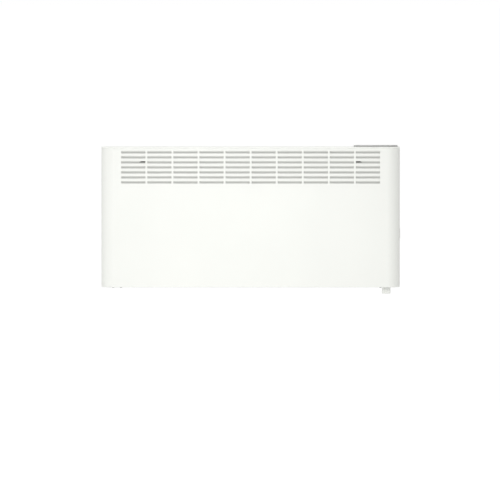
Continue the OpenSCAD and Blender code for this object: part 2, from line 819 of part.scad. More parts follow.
// Folded sheet between the element and the rear panel, standing on two flanges
module heat_shield() {
    t = plate_sheet;
    foot = 12;
    color(zinc) translate([shield_mid_x - shield_w / 2, 0, base_z])
        rotate([90, 0, 90]) linear_extrude(shield_w) {
            translate([shield_y - t, shield_low_h]) square([t, shield_top - shield_low_h]);
            translate([shield_y - t, shield_low_h]) square([shield_gap + t, t]);
            translate([shield_y - t, shield_top - t]) square([shield_gap + t, t]);
            translate([panel_front_y - t, shield_low_h - foot + t]) square([t, foot]);
            translate([panel_front_y - t, shield_top - t]) square([t, foot]);
        }
}

// Sheet under the cover that turns the rising air towards the slots
module air_deflector() {
    t = plate_sheet;
    rear_h = casing_h - 32;
    front_h = casing_h - 12;
    front = front_y + 24;
    foot = 12;
    slope = atan2(front_h - rear_h, panel_front_y - t - front);
    color(zinc) translate([shield_mid_x - shield_w / 2, 0, base_z])
        rotate([90, 0, 90]) linear_extrude(shield_w) {
            polygon([
                [front, front_h], [panel_front_y - t, rear_h],
                [panel_front_y - t, rear_h + t / cos(slope)], [front, front_h + t / cos(slope)]
            ]);
            translate([panel_front_y - t, rear_h]) square([t, foot]);
            translate([front - t, front_h - 6]) square([t, 6 + t / cos(slope)]);
        }
}

// End plate with a folded rear foot, drilled for the two bushings
module end_plate(x, top_h, foot_side) {
    t = plate_sheet;
    depth = panel_front_y - plate_front_y;
    foot = 12;
    foot_low_h = sheet + floor_lip_h + 3;
    difference() {
        union() {
            block([x - t / 2, plate_front_y, plate_bottom_h + t],
                [t, depth - sheet - fit_gap, foot_low_h - plate_bottom_h]);
            block([x - t / 2, plate_front_y, foot_low_h], [t, depth, top_h - foot_low_h]);
            block([foot_side > 0 ? x - t / 2 : x + t / 2 - foot, panel_front_y - t, foot_low_h],
                [foot, t, top_h - foot_low_h]);
            block([foot_side > 0 ? x - t / 2 : x + t / 2 - foot, plate_front_y, plate_bottom_h],
                [foot, depth - 2, t]);
        }
        for (h = [tube_h, tube_top_h])
            translate([x - foot - 1, element_y, base_z + h]) rotate([0, 90, 0])
                cylinder(d = bushing_d + 2 * running_gap, h = 2 * foot + 2);
    }
}

module left_end_plate() {
    color(zinc) end_plate(left_plate_x, end_plate_top, -1);
}

module partition_plate() {
    color(zinc) difference() {
        end_plate(partition_x, casing_h - 34, 1);
        block([partition_x - 2, element_y - 25, 130], [4, 24, 12]);
    }
}

// Steel tube bent into a hairpin: both runs pass through the end plates and all fins
module heating_tube() {
    bend_x = left_plate_x - bushing_l / 2 - 2;
    color(steel) {
        for (h = [tube_h, tube_top_h])
            translate([bend_x, element_y, base_z + h]) rotate([0, 90, 0])
                cylinder(d = tube_d, h = tube_end_x - bend_x);
        translate([bend_x, element_y, base_z + tube_h + bend_r]) rotate([90, 0, 0])
            rotate([0, 0, 90]) rotate_extrude(angle = 180) translate([bend_r, 0]) circle(d = tube_d);
    }
}

module element_fins() {
    corner = 8;
    hole = tube_d + 2 * running_gap;
    low = tube_h + bend_r - fin_h / 2;
    color([0.8, 0.81, 0.82]) for (i = [0 : fin_count - 1])
        translate([fin_first_x + i * fin_pitch - fin_t / 2, element_y, base_z + low])
            rotate([90, 0, 90]) linear_extrude(fin_t) difference() {
                polygon([
                    [-fin_d / 2, corner], [corner - fin_d / 2, 0],
                    [fin_d / 2 - corner, 0], [fin_d / 2, corner],
                    [fin_d / 2, fin_h - corner], [fin_d / 2 - corner, fin_h],
                    [corner - fin_d / 2, fin_h], [-fin_d / 2, fin_h - corner]
                ]);
                for (h = [tube_h, tube_top_h]) translate([0, h - low]) circle(d = hole);
            }
}

// Ceramic bushings seated in the end plates, each with a collar on one side
module tube_bushings() {
    collar_t = 3;
    color([0.9, 0.88, 0.82]) for (x = [left_plate_x, partition_x])
        for (h = [tube_h, tube_top_h])
            translate([x - bushing_l / 2, element_y, base_z + h]) rotate([0, 90, 0])
                difference() {
                    union() {
                        cylinder(d = bushing_d, h = bushing_l);
                        translate([0, 0, bushing_l / 2 - plate_sheet / 2 - collar_t])
                            cylinder(d = bushing_d + 5, h = collar_t);
                    }
                    translate([0, 0, -1])
                        cylinder(d = tube_d + 2 * running_gap, h = bushing_l + 2);
                }
}

terminal_l = 20;

// Cold ends of the tube: a ceramic bead and a flat blade on each
module tube_terminals() {
    bead_l = 5;
    color([0.85, 0.82, 0.7]) for (h = [tube_h, tube_top_h])
        translate([tube_end_x, element_y, base_z + h]) {
            rotate([0, 90, 0]) cylinder(d = tube_d - 1.5, h = bead_l);
            translate([bead_l - 1, -3.15, -0.4]) cube([terminal_l - bead_l + 1, 6.3, 0.8]);
        }
}

limiter_x = shield_mid_x + 120;
limiter_h = tube_top_h + fin_h / 2 + 18;
limiter_d = 16;
limiter_plate_y = shield_y - plate_sheet - 6;

// Strap on the heat shield that carries the limiter above the fins
module limiter_bracket() {
    t = plate_sheet;
    color(zinc) difference() {
        union() {
            block([limiter_x - 18, limiter_plate_y - t, limiter_h - 11], [36, t, 22]);
            for (e = [-1, 1]) {
                block([limiter_x + e * (18 - t / 2) - t / 2, limiter_plate_y - t, limiter_h - 11],
                    [t, 6 + t, 22]);
                block([limiter_x + e * 22 - 4 - t / 2, shield_y - 2 * t, limiter_h - 11], [8 + t, t, 22]);
            }
        }
        bar_y(limiter_x, limiter_plate_y - t - 1, limiter_h, limiter_d - 2, t + 2);
    }
}

// Snap-disc limiter: metal cap, moulded body and two blades
module thermal_limiter() {
    y = limiter_plate_y - plate_sheet;
    color(black_plastic) {
        bar_y(limiter_x, y - 9, limiter_h, limiter_d, 9);
        bar_y(limiter_x, y - 9.8, limiter_h, limiter_d - 3, 1);
        for (e = [-1, 1])
            block([limiter_x + e * 11 - 4, y - 5, limiter_h - 3.15], [8, 0.8, 6.3]);
    }
}

// Thermal fuse clipped to the heat shield beside the limiter
module thermal_fuse() {
    h = limiter_h + 30;
    y = shield_y - plate_sheet;
    color(zinc) {
        block([limiter_x - 7, y - 1, h - 5], [14, 1, 10]);
        translate([limiter_x - 6, y - 2.7, base_z + h]) rotate([0, 90, 0]) cylinder(d = 4, h = 12);
        for (e = [-1, 1])
            translate([limiter_x + (e > 0 ? 5 : -15), y - 2.7, base_z + h]) rotate([0, 90, 0])
                cylinder(d = 1.2, h = 10);
    }
}

control_arcs = [
    [control_left_x + control_end_r, control_mid_y, control_end_r, 90, 270],
    [control_right_x - control_corner_r, control_front_y + control_corner_r,
        control_corner_r, 270, 360],
    [control_right_x - control_rear_r, control_rear_y - control_rear_r, control_rear_r, 0, 90]
];
window_mid_x = window_x + window_l / 2;
lens_t = 1.1;
function key_x(i) = keys_x + i * key_pitch;

module control_section() {
    side_h = control_rise - control_edge_r;
    translate([-control_wall, casing_h]) square([control_wall, side_h]);
    translate([-control_edge_r, casing_h + side_h]) intersection() {
        circle(control_edge_r);
        square(control_edge_r);
    }
    translate([-control_wall - 2, control_top_h - control_wall])
        square([control_wall + 2 - control_edge_r, control_wall]);
}

// Upper shell of the control unit, with the window and the key bores
module control_housing() {
    inset = control_wall + 1;
    color(pale_grey) difference() {
        union() {
            translate([0, 0, base_z]) follow(control_arcs, closed = true) control_section();
            level(control_top_h - control_wall, control_wall)
                polygon([
                    for (a = control_arcs)
                        for (k = [0 : 6])
                            arc_point([a[0], a[1], a[2] - inset], a[3] + (a[4] - a[3]) * k / 6)
                ]);
        }
        level(control_top_h - lens_t - 0.1, lens_t + 1)
            translate([window_mid_x, control_mid_y]) soft_rect(window_l, window_w, 2);
        level(control_top_h - 2 * control_wall, 2 * control_wall)
            translate([window_mid_x, control_mid_y]) soft_rect(window_l - 3, window_w - 3, 1);
        for (i = [0 : 3])
            translate([key_x(i), control_mid_y, base_z + control_top_h - control_wall - 1])
                cylinder(r = key_bore_r, h = control_wall + 2);
    }
}

// Tray under the cover: its rim lies on the cover inside the housing
module control_tray() {
    wall = 1.6;
    rim = 3;
    color(black_plastic) difference() {
        union() {
            level(tray_floor_h, tray_depth + tray_rim_t) tray_plan(0);
            level(casing_h, tray_rim_t) tray_plan(rim);
        }
        difference() {
            level(tray_floor_h + wall, tray_depth + 3) tray_plan(-wall);
            for (sx = [0, 1])
                for (sy = [0, 1])
                    translate([control_post_x(sx), control_post_y(sy), base_z + tray_floor_h])
                        cylinder(d = tray_post_d, h = control_board_h - board_t - tray_floor_h);
        }
        block([ribbon_x - ribbon_w / 2 - 1, tray_rear_y - wall - 8, tray_floor_h - 1],
            [ribbon_w + 2, 4, wall + 2]);
    }
}
control_board_h = board_top_h;
ribbon_w = 16;
ribbon_x = board_left_x + header_xs[3];
post_inset = 9;
function control_post_x(s) = s == 0 ? tray_left_x + post_inset : tray_right_x - post_inset;
function control_post_y(s) = s == 0 ? tray_front_y + post_inset : tray_rear_y - post_inset;

module display_lens() {
    color([0.1, 0.11, 0.12]) level(control_top_h - lens_t - 0.1, lens_t)
        translate([window_mid_x, control_mid_y])
            soft_rect(window_l - 2 * running_gap, window_w - 2 * running_gap, 2);
}

// Display glass in a frame that stands on the control board
module lcd_module() {
    glass_top_h = control_top_h - control_wall - 0.3;
    l = window_l - 4;
    w = window_w - 4;
    frame = 1.5;
    color([0.55, 0.6, 0.55]) {
        level(glass_top_h - 2.4, 2.4) translate([window_mid_x, control_mid_y]) soft_rect(l, w, 1);
        for (e = [-1, 1])
            block([window_mid_x - l / 2, control_mid_y + e * (w - frame) / 2 - frame / 2,
                control_board_h], [l, frame, glass_top_h - 2.3 - control_board_h]);
    }
}

module control_board() {
    gap = 1.6 + fit_gap;
    color(board_green) level(control_board_h - board_t, board_t) tray_plan(-gap);
}

key_switch_h = 3.6;
key_stem_r = 2;
key_stem_h = control_board_h + key_switch_h - 0.6;

// Four push switches on the control board, under the keys
module key_switches() {
    color(black_plastic) for (i = [0 : 3])
        difference() {
            level(control_board_h, key_switch_h)
                translate([key_x(i), control_mid_y]) square(7, center = true);
            translate([key_x(i), control_mid_y, base_z + key_stem_h - key_travel - fit_gap])
                cylinder(r = key_stem_r + fit_gap, h = key_switch_h);
        }
}

// Key: cap in the housing's bore, flange below it and stem into the switch.
// The mark on the cap is a shallow groove: bars along x and y, or a ring.
module key(i, bars, ring = false) {
    flange_top_h = control_top_h - control_wall - fit_gap / 3;
    cap_top_h = control_top_h + key_proud;
    mark_d = 0.25;
    color(nylon) translate([key_x(i), control_mid_y, base_z]) difference() {
        union() {
            translate([0, 0, flange_top_h - tiny])
                cylinder(d = key_d, h = cap_top_h - 0.3 - flange_top_h + tiny);
            translate([0, 0, cap_top_h - 0.3]) cylinder(d1 = key_d, d2 = key_d - 0.6, h = 0.3);
            translate([0, 0, flange_top_h - key_flange_t])
                cylinder(r = key_flange_r, h = key_flange_t);
            translate([0, 0, key_stem_h])
                cylinder(r = key_stem_r, h = flange_top_h - key_flange_t / 2 - key_stem_h);
        }
        for (bar = bars)
            translate([0, bar[2], cap_top_h]) cube([bar[0], bar[1], 2 * mark_d], center = true);
        if (ring)
            translate([0, 0, cap_top_h - mark_d]) difference() {
                cylinder(r = 2, h = 1);
                translate([0, 0, -1]) cylinder(r = 1.3, h = 3);
            }
    }
}
module key_menu() { key(0, [[4, 0.6, 1.4], [4, 0.6, 0], [4, 0.6, -1.4]]); }
module key_minus() { key(1, [[4, 0.7, 0]]); }
module key_plus() { key(2, [[4, 0.7, 0], [0.7, 4, 0]]); }
module key_ok() { key(3, [], ring = true); }

function board_hole_x(s) = board_left_x + (s == 0 ? hole_inset : board_l - hole_inset);
function board_hole_h(s) = board_bottom_h + (s == 0 ? hole_inset : board_h - hole_inset);

module power_board() {
    color(board_green) difference() {
        block([board_left_x, board_face_y, board_bottom_h], [board_l, board_t, board_h]);
        for (sx = [0, 1])
            for (sh = [0, 1])
                bar_y(board_hole_x(sx), board_face_y - 1, board_hole_h(sh),
                    screw_d + 2 * running_gap, board_t + 2);
    }
}

// Piece standing on the power board: a block from the board's face forwards
module on_board(x, h, size) {
    block([board_left_x + x, board_face_y - size[1], board_bottom_h + h], size);
}

module board_relay() {
    color([0.1, 0.2, 0.5]) on_board(14, 14, [20, 16, 28]);
}

module board_transformer() {
    color([0.75, 0.65, 0.15]) {
        on_board(42, 54, [28, 14, 9]);
        on_board(45, 63 - tiny, [22, 19, 10 + 2 * tiny]);
        on_board(42, 73, [28, 14, 9]);
    }
}

module board_capacitors() {
    color([0.12, 0.12, 0.3]) {
        for (c = [[84, 36, 12.5, 20], [84, 58, 10, 16]])
            bar_y(board_left_x + c[0], board_face_y - c[3], board_bottom_h + c[1], c[2], c[3]);
        on_board(12, 52, [18, 12, 8]);
    }
}

module board_fuse() {
    color(steel) {
        translate([board_left_x + 46, board_face_y - 5, base_z + board_bottom_h + 40])
            rotate([0, 90, 0]) cylinder(d = 5.2, h = 20);
        for (x = [46, 61])
            on_board(x, 37.6, [5, 5.2, 4.8]);
    }
}

module board_headers() {
    color(nylon) for (x = header_xs)
        difference() {
            on_board(x - header_l / 2, 0.5, [header_l, 11, 8.5]);
            for (e = [-1, 1])
                translate([board_left_x + x + e * 3.8, board_face_y - 5.5,
                    base_z + board_bottom_h - 1]) cylinder(d = lead_d + 2 * fit_gap, h = 7);
        }
    color(nylon) on_board(header_xs[3] - 11, board_h - 9, [ribbon_w + 6, 8, 7]);
}

// Extruded heat sink with its triac, standing on the power board
module heat_sink() {
    color([0.78, 0.79, 0.8]) {
        on_board(42, 14, [34, 3, 18]);
        for (i = [0 : 5]) on_board(42 + i * 6.4, 14, [2, 18, 18]);
    }
}

module board_standoffs() {
    color(nylon) for (sx = [0, 1])
        for (sh = [0, 1])
            difference() {
                bar_y(board_hole_x(sx), board_back_y, board_hole_h(sh), standoff_d, standoff_l);
                bar_y(board_hole_x(sx), board_back_y - 1, board_hole_h(sh),
                    screw_d + 2 * running_gap, standoff_l + 2);
            }
}

// Screws through the board, the standoffs and the rear panel, with nuts behind the board
module board_screws() {
    color(steel) for (sx = [0, 1])
        for (sh = [0, 1]) {
            x = board_hole_x(sx);
            h = board_hole_h(sh);
            bar_y(x, board_face_y - tiny, h, screw_d, panel_back_y - board_face_y + tiny);
            bar_y(x, board_face_y - 2, h, screw_head_d, 2);
            bar_y(x, panel_back_y, h, screw_head_d, 1.2);
        }
}

terminal_xs = [-11, 0, 11];
terminal_size = [38, 15, 20];

module terminal_block() {
    back_y = panel_front_y;
    low_h = block_h - terminal_size[2] / 2;
    color(nylon) difference() {
        block([block_x - terminal_size[0] / 2, back_y - terminal_size[1], low_h], terminal_size);
        for (dx = terminal_xs) {
            translate([block_x + dx, back_y - 6, base_z + low_h - 1])
                cylinder(d = lead_d + 2 * fit_gap, h = terminal_size[2] + 2);
            bar_y(block_x + dx, back_y - terminal_size[1] - 1, block_h,
                4 + 2 * running_gap, terminal_size[1] - 6);
        }
        for (dx = [-1, 1])
            block([block_x + dx * 5.5 - 0.8, back_y - terminal_size[1] - 1, low_h - 1],
                [1.6, 5, terminal_size[2] + 2]);
    }
}

module terminal_screws() {
    color(steel) for (dx = terminal_xs)
        difference() {
            bar_y(block_x + dx, panel_front_y - terminal_size[1] + 1, block_h, 4, 6);
            block([block_x + dx - 2.5, panel_front_y - terminal_size[1] + 0.9, block_h - 0.4],
                [5, 1.1, 0.8]);
        }
}

// Snap-in switch body: bezel on the side, well for the rocker and bores for its pivot
module switch_housing() {
    well_d = 10;
    color(pale_grey) difference() {
        union() {
            block([half_w, switch_y - bezel_w / 2, switch_h - bezel_l / 2],
                [bezel_t, bezel_w, bezel_l]);
            block([half_w - switch_depth, switch_y - switch_body_w / 2,
                switch_h - switch_body_l / 2], [switch_depth + tiny, switch_body_w, switch_body_l]);
        }
        block([half_w - well_d, switch_y - switch_body_w / 2 + switch_wall,
            switch_h - switch_body_l / 2 + switch_wall - 0.2],
            [well_d + 2, switch_body_w - 2 * switch_wall, switch_body_l - 2 * switch_wall + 0.4]);
        bar_y(pivot_x, switch_y - switch_body_w / 2 + 0.2, switch_h,
            pivot_d + 2 * running_gap, switch_body_w - 0.4);
    }
}

// Rocker with two faces that meet at its middle, so that the pressed half sinks
// and the other half lies level with the bezel.
module switch_rocker() {
    half_turn = rocker_turn / 2;
    face_x = half_w + bezel_t - pivot_x;
    drop = tan(half_turn) * rocker_l / 2;
    back = 3.4;
    color(nylon) translate([pivot_x, switch_y, base_z + switch_h])
        rotate([0, -half_turn, 0]) {
            rotate([90, 0, 0]) linear_extrude(rocker_w, center = true)
                polygon([
                    [face_x / cos(half_turn), 0],
                    [face_x / cos(half_turn) - drop, rocker_l / 2 - 0.4],
                    [face_x - drop - back, rocker_l / 2 - 0.6],
                    [-pivot_d / 2 - 0.6, 3], [-pivot_d / 2 - 0.6, -3],
                    [face_x - drop - back, 0.6 - rocker_l / 2],
                    [face_x / cos(half_turn) - drop, 0.4 - rocker_l / 2]
                ]);
            rotate([-90, 0, 0])
                translate([0, 0, -(switch_body_w - 0.8) / 2])
                    cylinder(d = pivot_d, h = switch_body_w - 0.8);
        }
}

tab_l = 8;

module switch_tabs() {
    color([0.75, 0.68, 0.4]) for (i = [-1 : 1])
        block([half_w - switch_depth - tab_l, switch_y - 2.4, switch_h + i * 8 - 0.4],
            [tab_l, 4.8, 0.8]);
}

gland_back_y = panel_back_y + 6;
gland_front_y = panel_front_y - 11;

// Cable gland through the rear panel, with its flange on the wall side
module cable_gland() {
    color(black_plastic) difference() {
        union() {
            bar_y(gland_x, gland_front_y, gland_h, 2 * gland_r, panel_back_y - gland_front_y + tiny);
            bar_y(gland_x, panel_back_y, gland_h, 2 * gland_r + 9, 3);
            translate([gland_x, panel_back_y + 3 - tiny, base_z + gland_h]) rotate([-90, 0, 0])
                cylinder(d1 = 2 * gland_r + 6, d2 = 2 * gland_r + 2, h = 3 + tiny);
        }
        bar_y(gland_x, gland_front_y - 1, gland_h, gland_bore_d, gland_back_y - gland_front_y + 2);
    }
}

module gland_nut() {
    color(black_plastic) difference() {
        translate([gland_x, panel_front_y - 5, base_z + gland_h]) rotate([-90, 0, 0])
            cylinder(d = 2 * gland_r + 9, h = 5, $fn = 6);
        bar_y(gland_x, panel_front_y - 6, gland_h, 2 * (gland_r + running_gap), 7);
    }
}

sensor_edge_r = 3;
sensor_board_y = sensor_y - 5;
sensor_board_h = 11;
sensor_arcs = [
    for (c = [[-1, -1, 180], [1, -1, 270], [1, 1, 0], [-1, 1, 90]])
        [sensor_x + c[0] * (sensor_w / 2 - sensor_r), sensor_y + c[1] * (sensor_d / 2 - sensor_r),
            sensor_r, c[2], c[2] + 90]
];

module sensor_section() {
    translate([-sensor_wall, sensor_edge_r - sensor_drop])
        square([sensor_wall, sensor_drop + sheet - sensor_edge_r]);
    translate([-sensor_edge_r, sensor_edge_r - sensor_drop])
        quarter_fold(sensor_edge_r, sensor_wall, 270);
    translate([-sensor_r + 0.5, -sensor_drop])
        square([sensor_r - 0.5 - sensor_edge_r, sensor_wall]);
}

// Housing under the casing that keeps the room sensor in the entering cold air
module sensor_housing() {
    neck_l = sensor_w - 6;
    neck_w = sensor_d - 6;
    color(pale_grey) difference() {
        union() {
            translate([0, 0, base_z]) follow(sensor_arcs, closed = true) sensor_section();
            level(-sensor_drop, sensor_wall) translate([sensor_x, sensor_y])
                soft_rect(sensor_w - 8, sensor_d - 8, 1);
            level(-sheet, 2 * sheet) translate([sensor_x, sensor_y])
                soft_rect(sensor_w - 2, sensor_d - 2, sensor_r - 1);
            level(0, 2 * sheet + 4) translate([sensor_x, sensor_y]) soft_rect(neck_l, neck_w, 3);
            for (s = [-1, 1])
                block([sensor_x + s * (neck_l / 2 + 0.4) - 1, sensor_y - 3, 2 * sheet + 0.1], [2, 6, 2]);
        }
        level(-sheet - 1, 2 * sheet + 6) translate([sensor_x, sensor_y])
            soft_rect(neck_l - 3, neck_w - 3, 1.5);
        for (i = [-1 : 1]) {
            block([sensor_x - 7, sensor_y, i * 3.6 - 10.2], [14, sensor_d, 1.6]);
            block([sensor_x + i * 4.5 - 0.8, sensor_y - 6, -sensor_drop - 1], [1.6, 12, sensor_wall + 2]);
        }
    }
}

// Sensor bead on a small board that stands on the housing's floor
module temperature_sensor() {
    floor_h = sensor_wall - sensor_drop;
    color(board_green) {
        block([sensor_x - 5, sensor_board_y, floor_h], [10, board_t, sensor_board_h]);
        bar_y(sensor_x, sensor_board_y + board_t - tiny, floor_h + 6, 3, 2.2);
    }
}

function unit(v) = v / norm(v);

// Points of a smooth curve through p, with n steps between neighbours
function smooth(p, n) = [
    for (i = [0 : len(p) - 2])
        let (a = p[max(i - 1, 0)], b = p[i], c = p[i + 1], d = p[min(i + 2, len(p) - 1)])
        for (k = [0 : n - 1])
            let (t = k / n)
            0.5 * (2 * b + t * (c - a) + t * t * (2 * a - 5 * b + 4 * c - d)
                + t * t * t * (3 * b - a - 3 * c + d)),
    p[len(p) - 1]
];

// Lead swept along a curve with rings that are carried on without twist
module lead(points, d = lead_d, sides = 6) {
    p = smooth(points, 4);
    last = len(p) - 1;
    dirs = [for (i = [0 : last]) unit(p[min(i + 1, last)] - p[max(i - 1, 0)])];
    side0 = unit(cross(dirs[0], abs(dirs[0][2]) > 0.8 ? [1, 0, 0] : [0, 0, 1]));
    normals = [
        for (i = 0, n = side0; i <= last;
            i = i + 1, n = i <= last ? unit(n - (n * dirs[i]) * dirs[i]) : n) n
    ];
    ring = [
        for (i = [0 : last])
            for (k = [0 : sides - 1])
                let (a = k * 360 / sides)
                p[i] + d / 2 * (cos(a) * normals[i] + sin(a) * cross(dirs[i], normals[i]))
    ];
    quads = [
        for (i = [0 : last - 1])
            for (k = [0 : sides - 1])
                let (m = (k + 1) % sides, a = i * sides, b = a + sides)
                for (f = [[a + k, b + k, b + m], [a + k, b + m, a + m]]) f
    ];
    caps = [
        for (k = [1 : sides - 2])
            for (f = [[0, k, k + 1], [last * sides, last * sides + k + 1, last * sides + k]]) f
    ];
    polyhedron(points = ring, faces = [for (f = concat(quads, caps)) [f[0], f[2], f[1]]]);
}

// Lead through points given as x, y and height
module lead_at(points) {
    lead([for (q = points) [q[0], q[1], base_z + q[2]]]);
}

header_y = board_face_y - 5.5;
header_in_h = board_bottom_h + 5.8;
block_y = panel_front_y - 6;
block_out_h = block_h + terminal_size[2] / 2;
tab_end_x = half_w - switch_depth - tab_l - 0.1;
stud_x = partition_x + 48;
stud_h = 150;
function header_pin(i, e) = board_left_x + header_xs[i] + e * 3.8;
function pin_start(i, e) = [
    [header_pin(i, e), header_y, header_in_h],
    [header_pin(i, e), header_y, board_bottom_h - 1],
    [header_pin(i, e), header_y, board_bottom_h - 6]
];
function block_start(i) = [
    [block_x + terminal_xs[i], block_y, block_out_h - 4],
    [block_x + terminal_xs[i], block_y, block_out_h + 1],
    [block_x + terminal_xs[i], block_y, block_out_h + 10]
];

// Live, neutral and earth leads between the terminal block, the switch and the power board
module mains_leads() {
    color([0.45, 0.25, 0.12]) {
        lead_at(concat(block_start(1), [
            [block_x + 6, switch_y + 4, switch_h - 22], [tab_end_x - 16, switch_y, switch_h - 10],
            [tab_end_x - 6, switch_y, switch_h - 8], [tab_end_x, switch_y, switch_h - 8]
        ]));
        lead_at(concat(pin_start(3, -1), [
            [header_pin(3, -1) - 2, switch_y + 4, switch_h + 14],
            [tab_end_x - 12, switch_y, switch_h + 2],
            [tab_end_x - 5, switch_y, switch_h], [tab_end_x, switch_y, switch_h]
        ]));
        lead_at(concat(block_start(0), [
            [block_x - 12, block_y - 8, switch_h - 18], [block_x - 4, header_y + 3, switch_h + 10],
            [header_pin(3, 1) - 2, header_y + 1, board_bottom_h - 16]
        ], [for (i = [2, 1, 0]) pin_start(3, 1)[i]]));
    }
    color([0.35, 0.55, 0.15])
        lead_at(concat(block_start(2), [
            [block_x - 4, block_y + 1, block_out_h + 22], [stud_x + 24, block_y, stud_h - 8],
            [stud_x + 12, block_y + 1, stud_h], [stud_x + 6.5, panel_front_y - 3.5, stud_h]
        ]));
}

module element_leads() {
    end_x = tube_end_x + terminal_l + 0.1;
    color(nylon) for (e = [-1, 1]) {
        h = e < 0 ? tube_h : tube_top_h;
        lead_at(concat(pin_start(0, e), [
            [header_pin(0, e) + 4, element_y + 10, (board_bottom_h + h) / 2 + 10],
            [end_x + 16 - 4 * e, element_y, h + 16],
            [end_x + 8, element_y, h], [end_x, element_y, h]
        ]));
    }
}

module limiter_leads() {
    blade_y = limiter_plate_y - plate_sheet - 4.6;
    pass_y = element_y - 13;
    color(nylon) {
        lead_at(concat(pin_start(1, -1), [
            [header_pin(1, -1) - 6, pass_y + 12, 156], [partition_x + 6, pass_y + 4, 136],
            [partition_x - 40, pass_y + 8, 138], [limiter_x + 70, blade_y - 8, limiter_h - 4],
            [limiter_x + 26, blade_y, limiter_h], [limiter_x + 15.1, blade_y, limiter_h]
        ]));
        lead_at(concat(pin_start(1, 1), [
            [header_pin(1, 1) - 6, pass_y + 6, 160], [partition_x + 6, pass_y - 3, 136],
            [partition_x - 40, pass_y + 2, 142], [limiter_x + 60, blade_y - 12, limiter_h + 14],
            [limiter_x, blade_y - 12, limiter_h + 16], [limiter_x - 26, blade_y - 2, limiter_h + 8],
            [limiter_x - 24, blade_y, limiter_h], [limiter_x - 15.1, blade_y, limiter_h]
        ]));
    }
}

module sensor_lead() {
    y = sensor_board_y + board_t / 2;
    color([0.2, 0.2, 0.2])
        lead_at(concat(pin_start(2, -1), [
            [header_pin(2, -1) + 8, header_y - 16, switch_h + 4],
            [sensor_x - 4, y + 1, 110], [sensor_x, y, 60], [sensor_x, y, 16],
            [sensor_x, y, sensor_wall - sensor_drop + sensor_board_h + 0.1]
        ]));
}

// Flat ribbon from the control board through the tray's floor to the power board
module control_ribbon() {
    t = 0.8;
    start_y = tray_rear_y - 7.6;
    end_y = board_face_y - 4;
    end_h = board_bottom_h + board_h - 1.9;
    p = smooth([
        [start_y, control_board_h - board_t], [start_y, tray_floor_h],
        [start_y + 3, tray_floor_h - 30], [end_y - 4, end_h + 30], [end_y, end_h]
    ], 6);
    last = len(p) - 1;
    function side(i) = let (d = unit(p[min(i + 1, last)] - p[max(i - 1, 0)])) [-d[1], d[0]] * t / 2;
    color([0.6, 0.6, 0.62]) translate([ribbon_x - ribbon_w / 2, 0, base_z])
        rotate([90, 0, 90]) linear_extrude(ribbon_w)
            polygon(concat([for (i = [0 : last]) p[i] + side(i)],
                [for (i = [last : -1 : 0]) p[i] - side(i)]));
}

// Welded stud with the ring tongue of the earth lead under its nut
module earth_stud() {
    color(steel) {
        bar_y(stud_x, panel_front_y - 12, stud_h, 4, 12);
        translate([stud_x, panel_front_y - 7, base_z + stud_h]) rotate([-90, 0, 0])
            cylinder(d = 8, h = 3.2, $fn = 6);
        bar_y(stud_x, panel_front_y - 4, stud_h, 9, 1);
        block([stud_x, panel_front_y - 4, stud_h - 2], [6, 1, 4]);
    }
}

// Screws that hold the rear panel to the casing, the floor and the wall spacers
module casing_screws() {
    color(steel) {
        for (s = [-1, 1]) {
            for (i = [0 : side_screw_count - 1])
                pan_screw(s * side_screw_x, rear_y, side_screw_h(i));
            for (dx = [-1, 1])
                pan_screw(s * spacer_x + dx * spacer_screw_dx, leg_front_y, spacer_screw_h);
        }
        for (x = floor_screw_xs) pan_screw(x, panel_back_y, floor_screw_h);
    }
}

module cover_screws() {
    color(steel) for (i = [0 : cover_screw_count - 1])
        pan_screw(cover_screw_x(i), rear_y, cover_screw_h);
}

front_casing();
top_cover();
louvre_insert();
rear_panel();
bottom_grille();
bracket_rail();
bracket_arm_left();
bracket_arm_right();
bracket_rivets();
lock_left();
lock_right();
wall_spacers();
spacer_tips();
heat_shield();
air_deflector();
left_end_plate();
partition_plate();
heating_tube();
element_fins();
tube_bushings();
tube_terminals();
limiter_bracket();
thermal_limiter();
thermal_fuse();
control_housing();
control_tray();
display_lens();
lcd_module();
control_board();
key_switches();
key_menu();
key_minus();
key_plus();
key_ok();
power_board();
board_relay();
board_transformer();
board_capacitors();
board_fuse();
board_headers();
heat_sink();
board_standoffs();
board_screws();
terminal_block();
terminal_screws();
switch_housing();
switch_rocker();
switch_tabs();
cable_gland();
gland_nut();
sensor_housing();
temperature_sensor();
mains_leads();
element_leads();
limiter_leads();
sensor_lead();
control_ribbon();
earth_stud();
casing_screws();
cover_screws();
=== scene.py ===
import math
import random

import bmesh
import bpy
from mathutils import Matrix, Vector


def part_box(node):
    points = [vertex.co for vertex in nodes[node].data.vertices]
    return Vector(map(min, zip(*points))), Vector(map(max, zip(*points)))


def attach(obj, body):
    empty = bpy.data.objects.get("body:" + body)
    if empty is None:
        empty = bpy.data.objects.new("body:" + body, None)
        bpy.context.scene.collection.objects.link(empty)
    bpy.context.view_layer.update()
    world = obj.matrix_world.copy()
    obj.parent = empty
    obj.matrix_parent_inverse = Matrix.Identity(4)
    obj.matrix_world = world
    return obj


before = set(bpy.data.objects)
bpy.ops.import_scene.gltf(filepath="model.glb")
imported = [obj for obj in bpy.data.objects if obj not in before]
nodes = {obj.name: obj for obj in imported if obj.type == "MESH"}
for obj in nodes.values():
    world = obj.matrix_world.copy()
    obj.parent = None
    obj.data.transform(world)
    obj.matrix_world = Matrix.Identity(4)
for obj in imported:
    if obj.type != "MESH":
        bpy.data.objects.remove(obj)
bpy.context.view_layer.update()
print("frame loaded:", len(nodes), "nodes")


# helpers that shorten the building of node trees
def addNode(tree, kind, at, **inputs):
    node = tree.nodes.new(kind)
    node.location = at
    for name, value in inputs.items():
        node.inputs[name].default_value = value
    return node


def feed(tree, value, socket):
    if hasattr(value, "links"):
        tree.links.new(value, socket)
    elif isinstance(value, tuple):
        socket.default_value = (*value, 1.0)
    else:
        socket.default_value = value


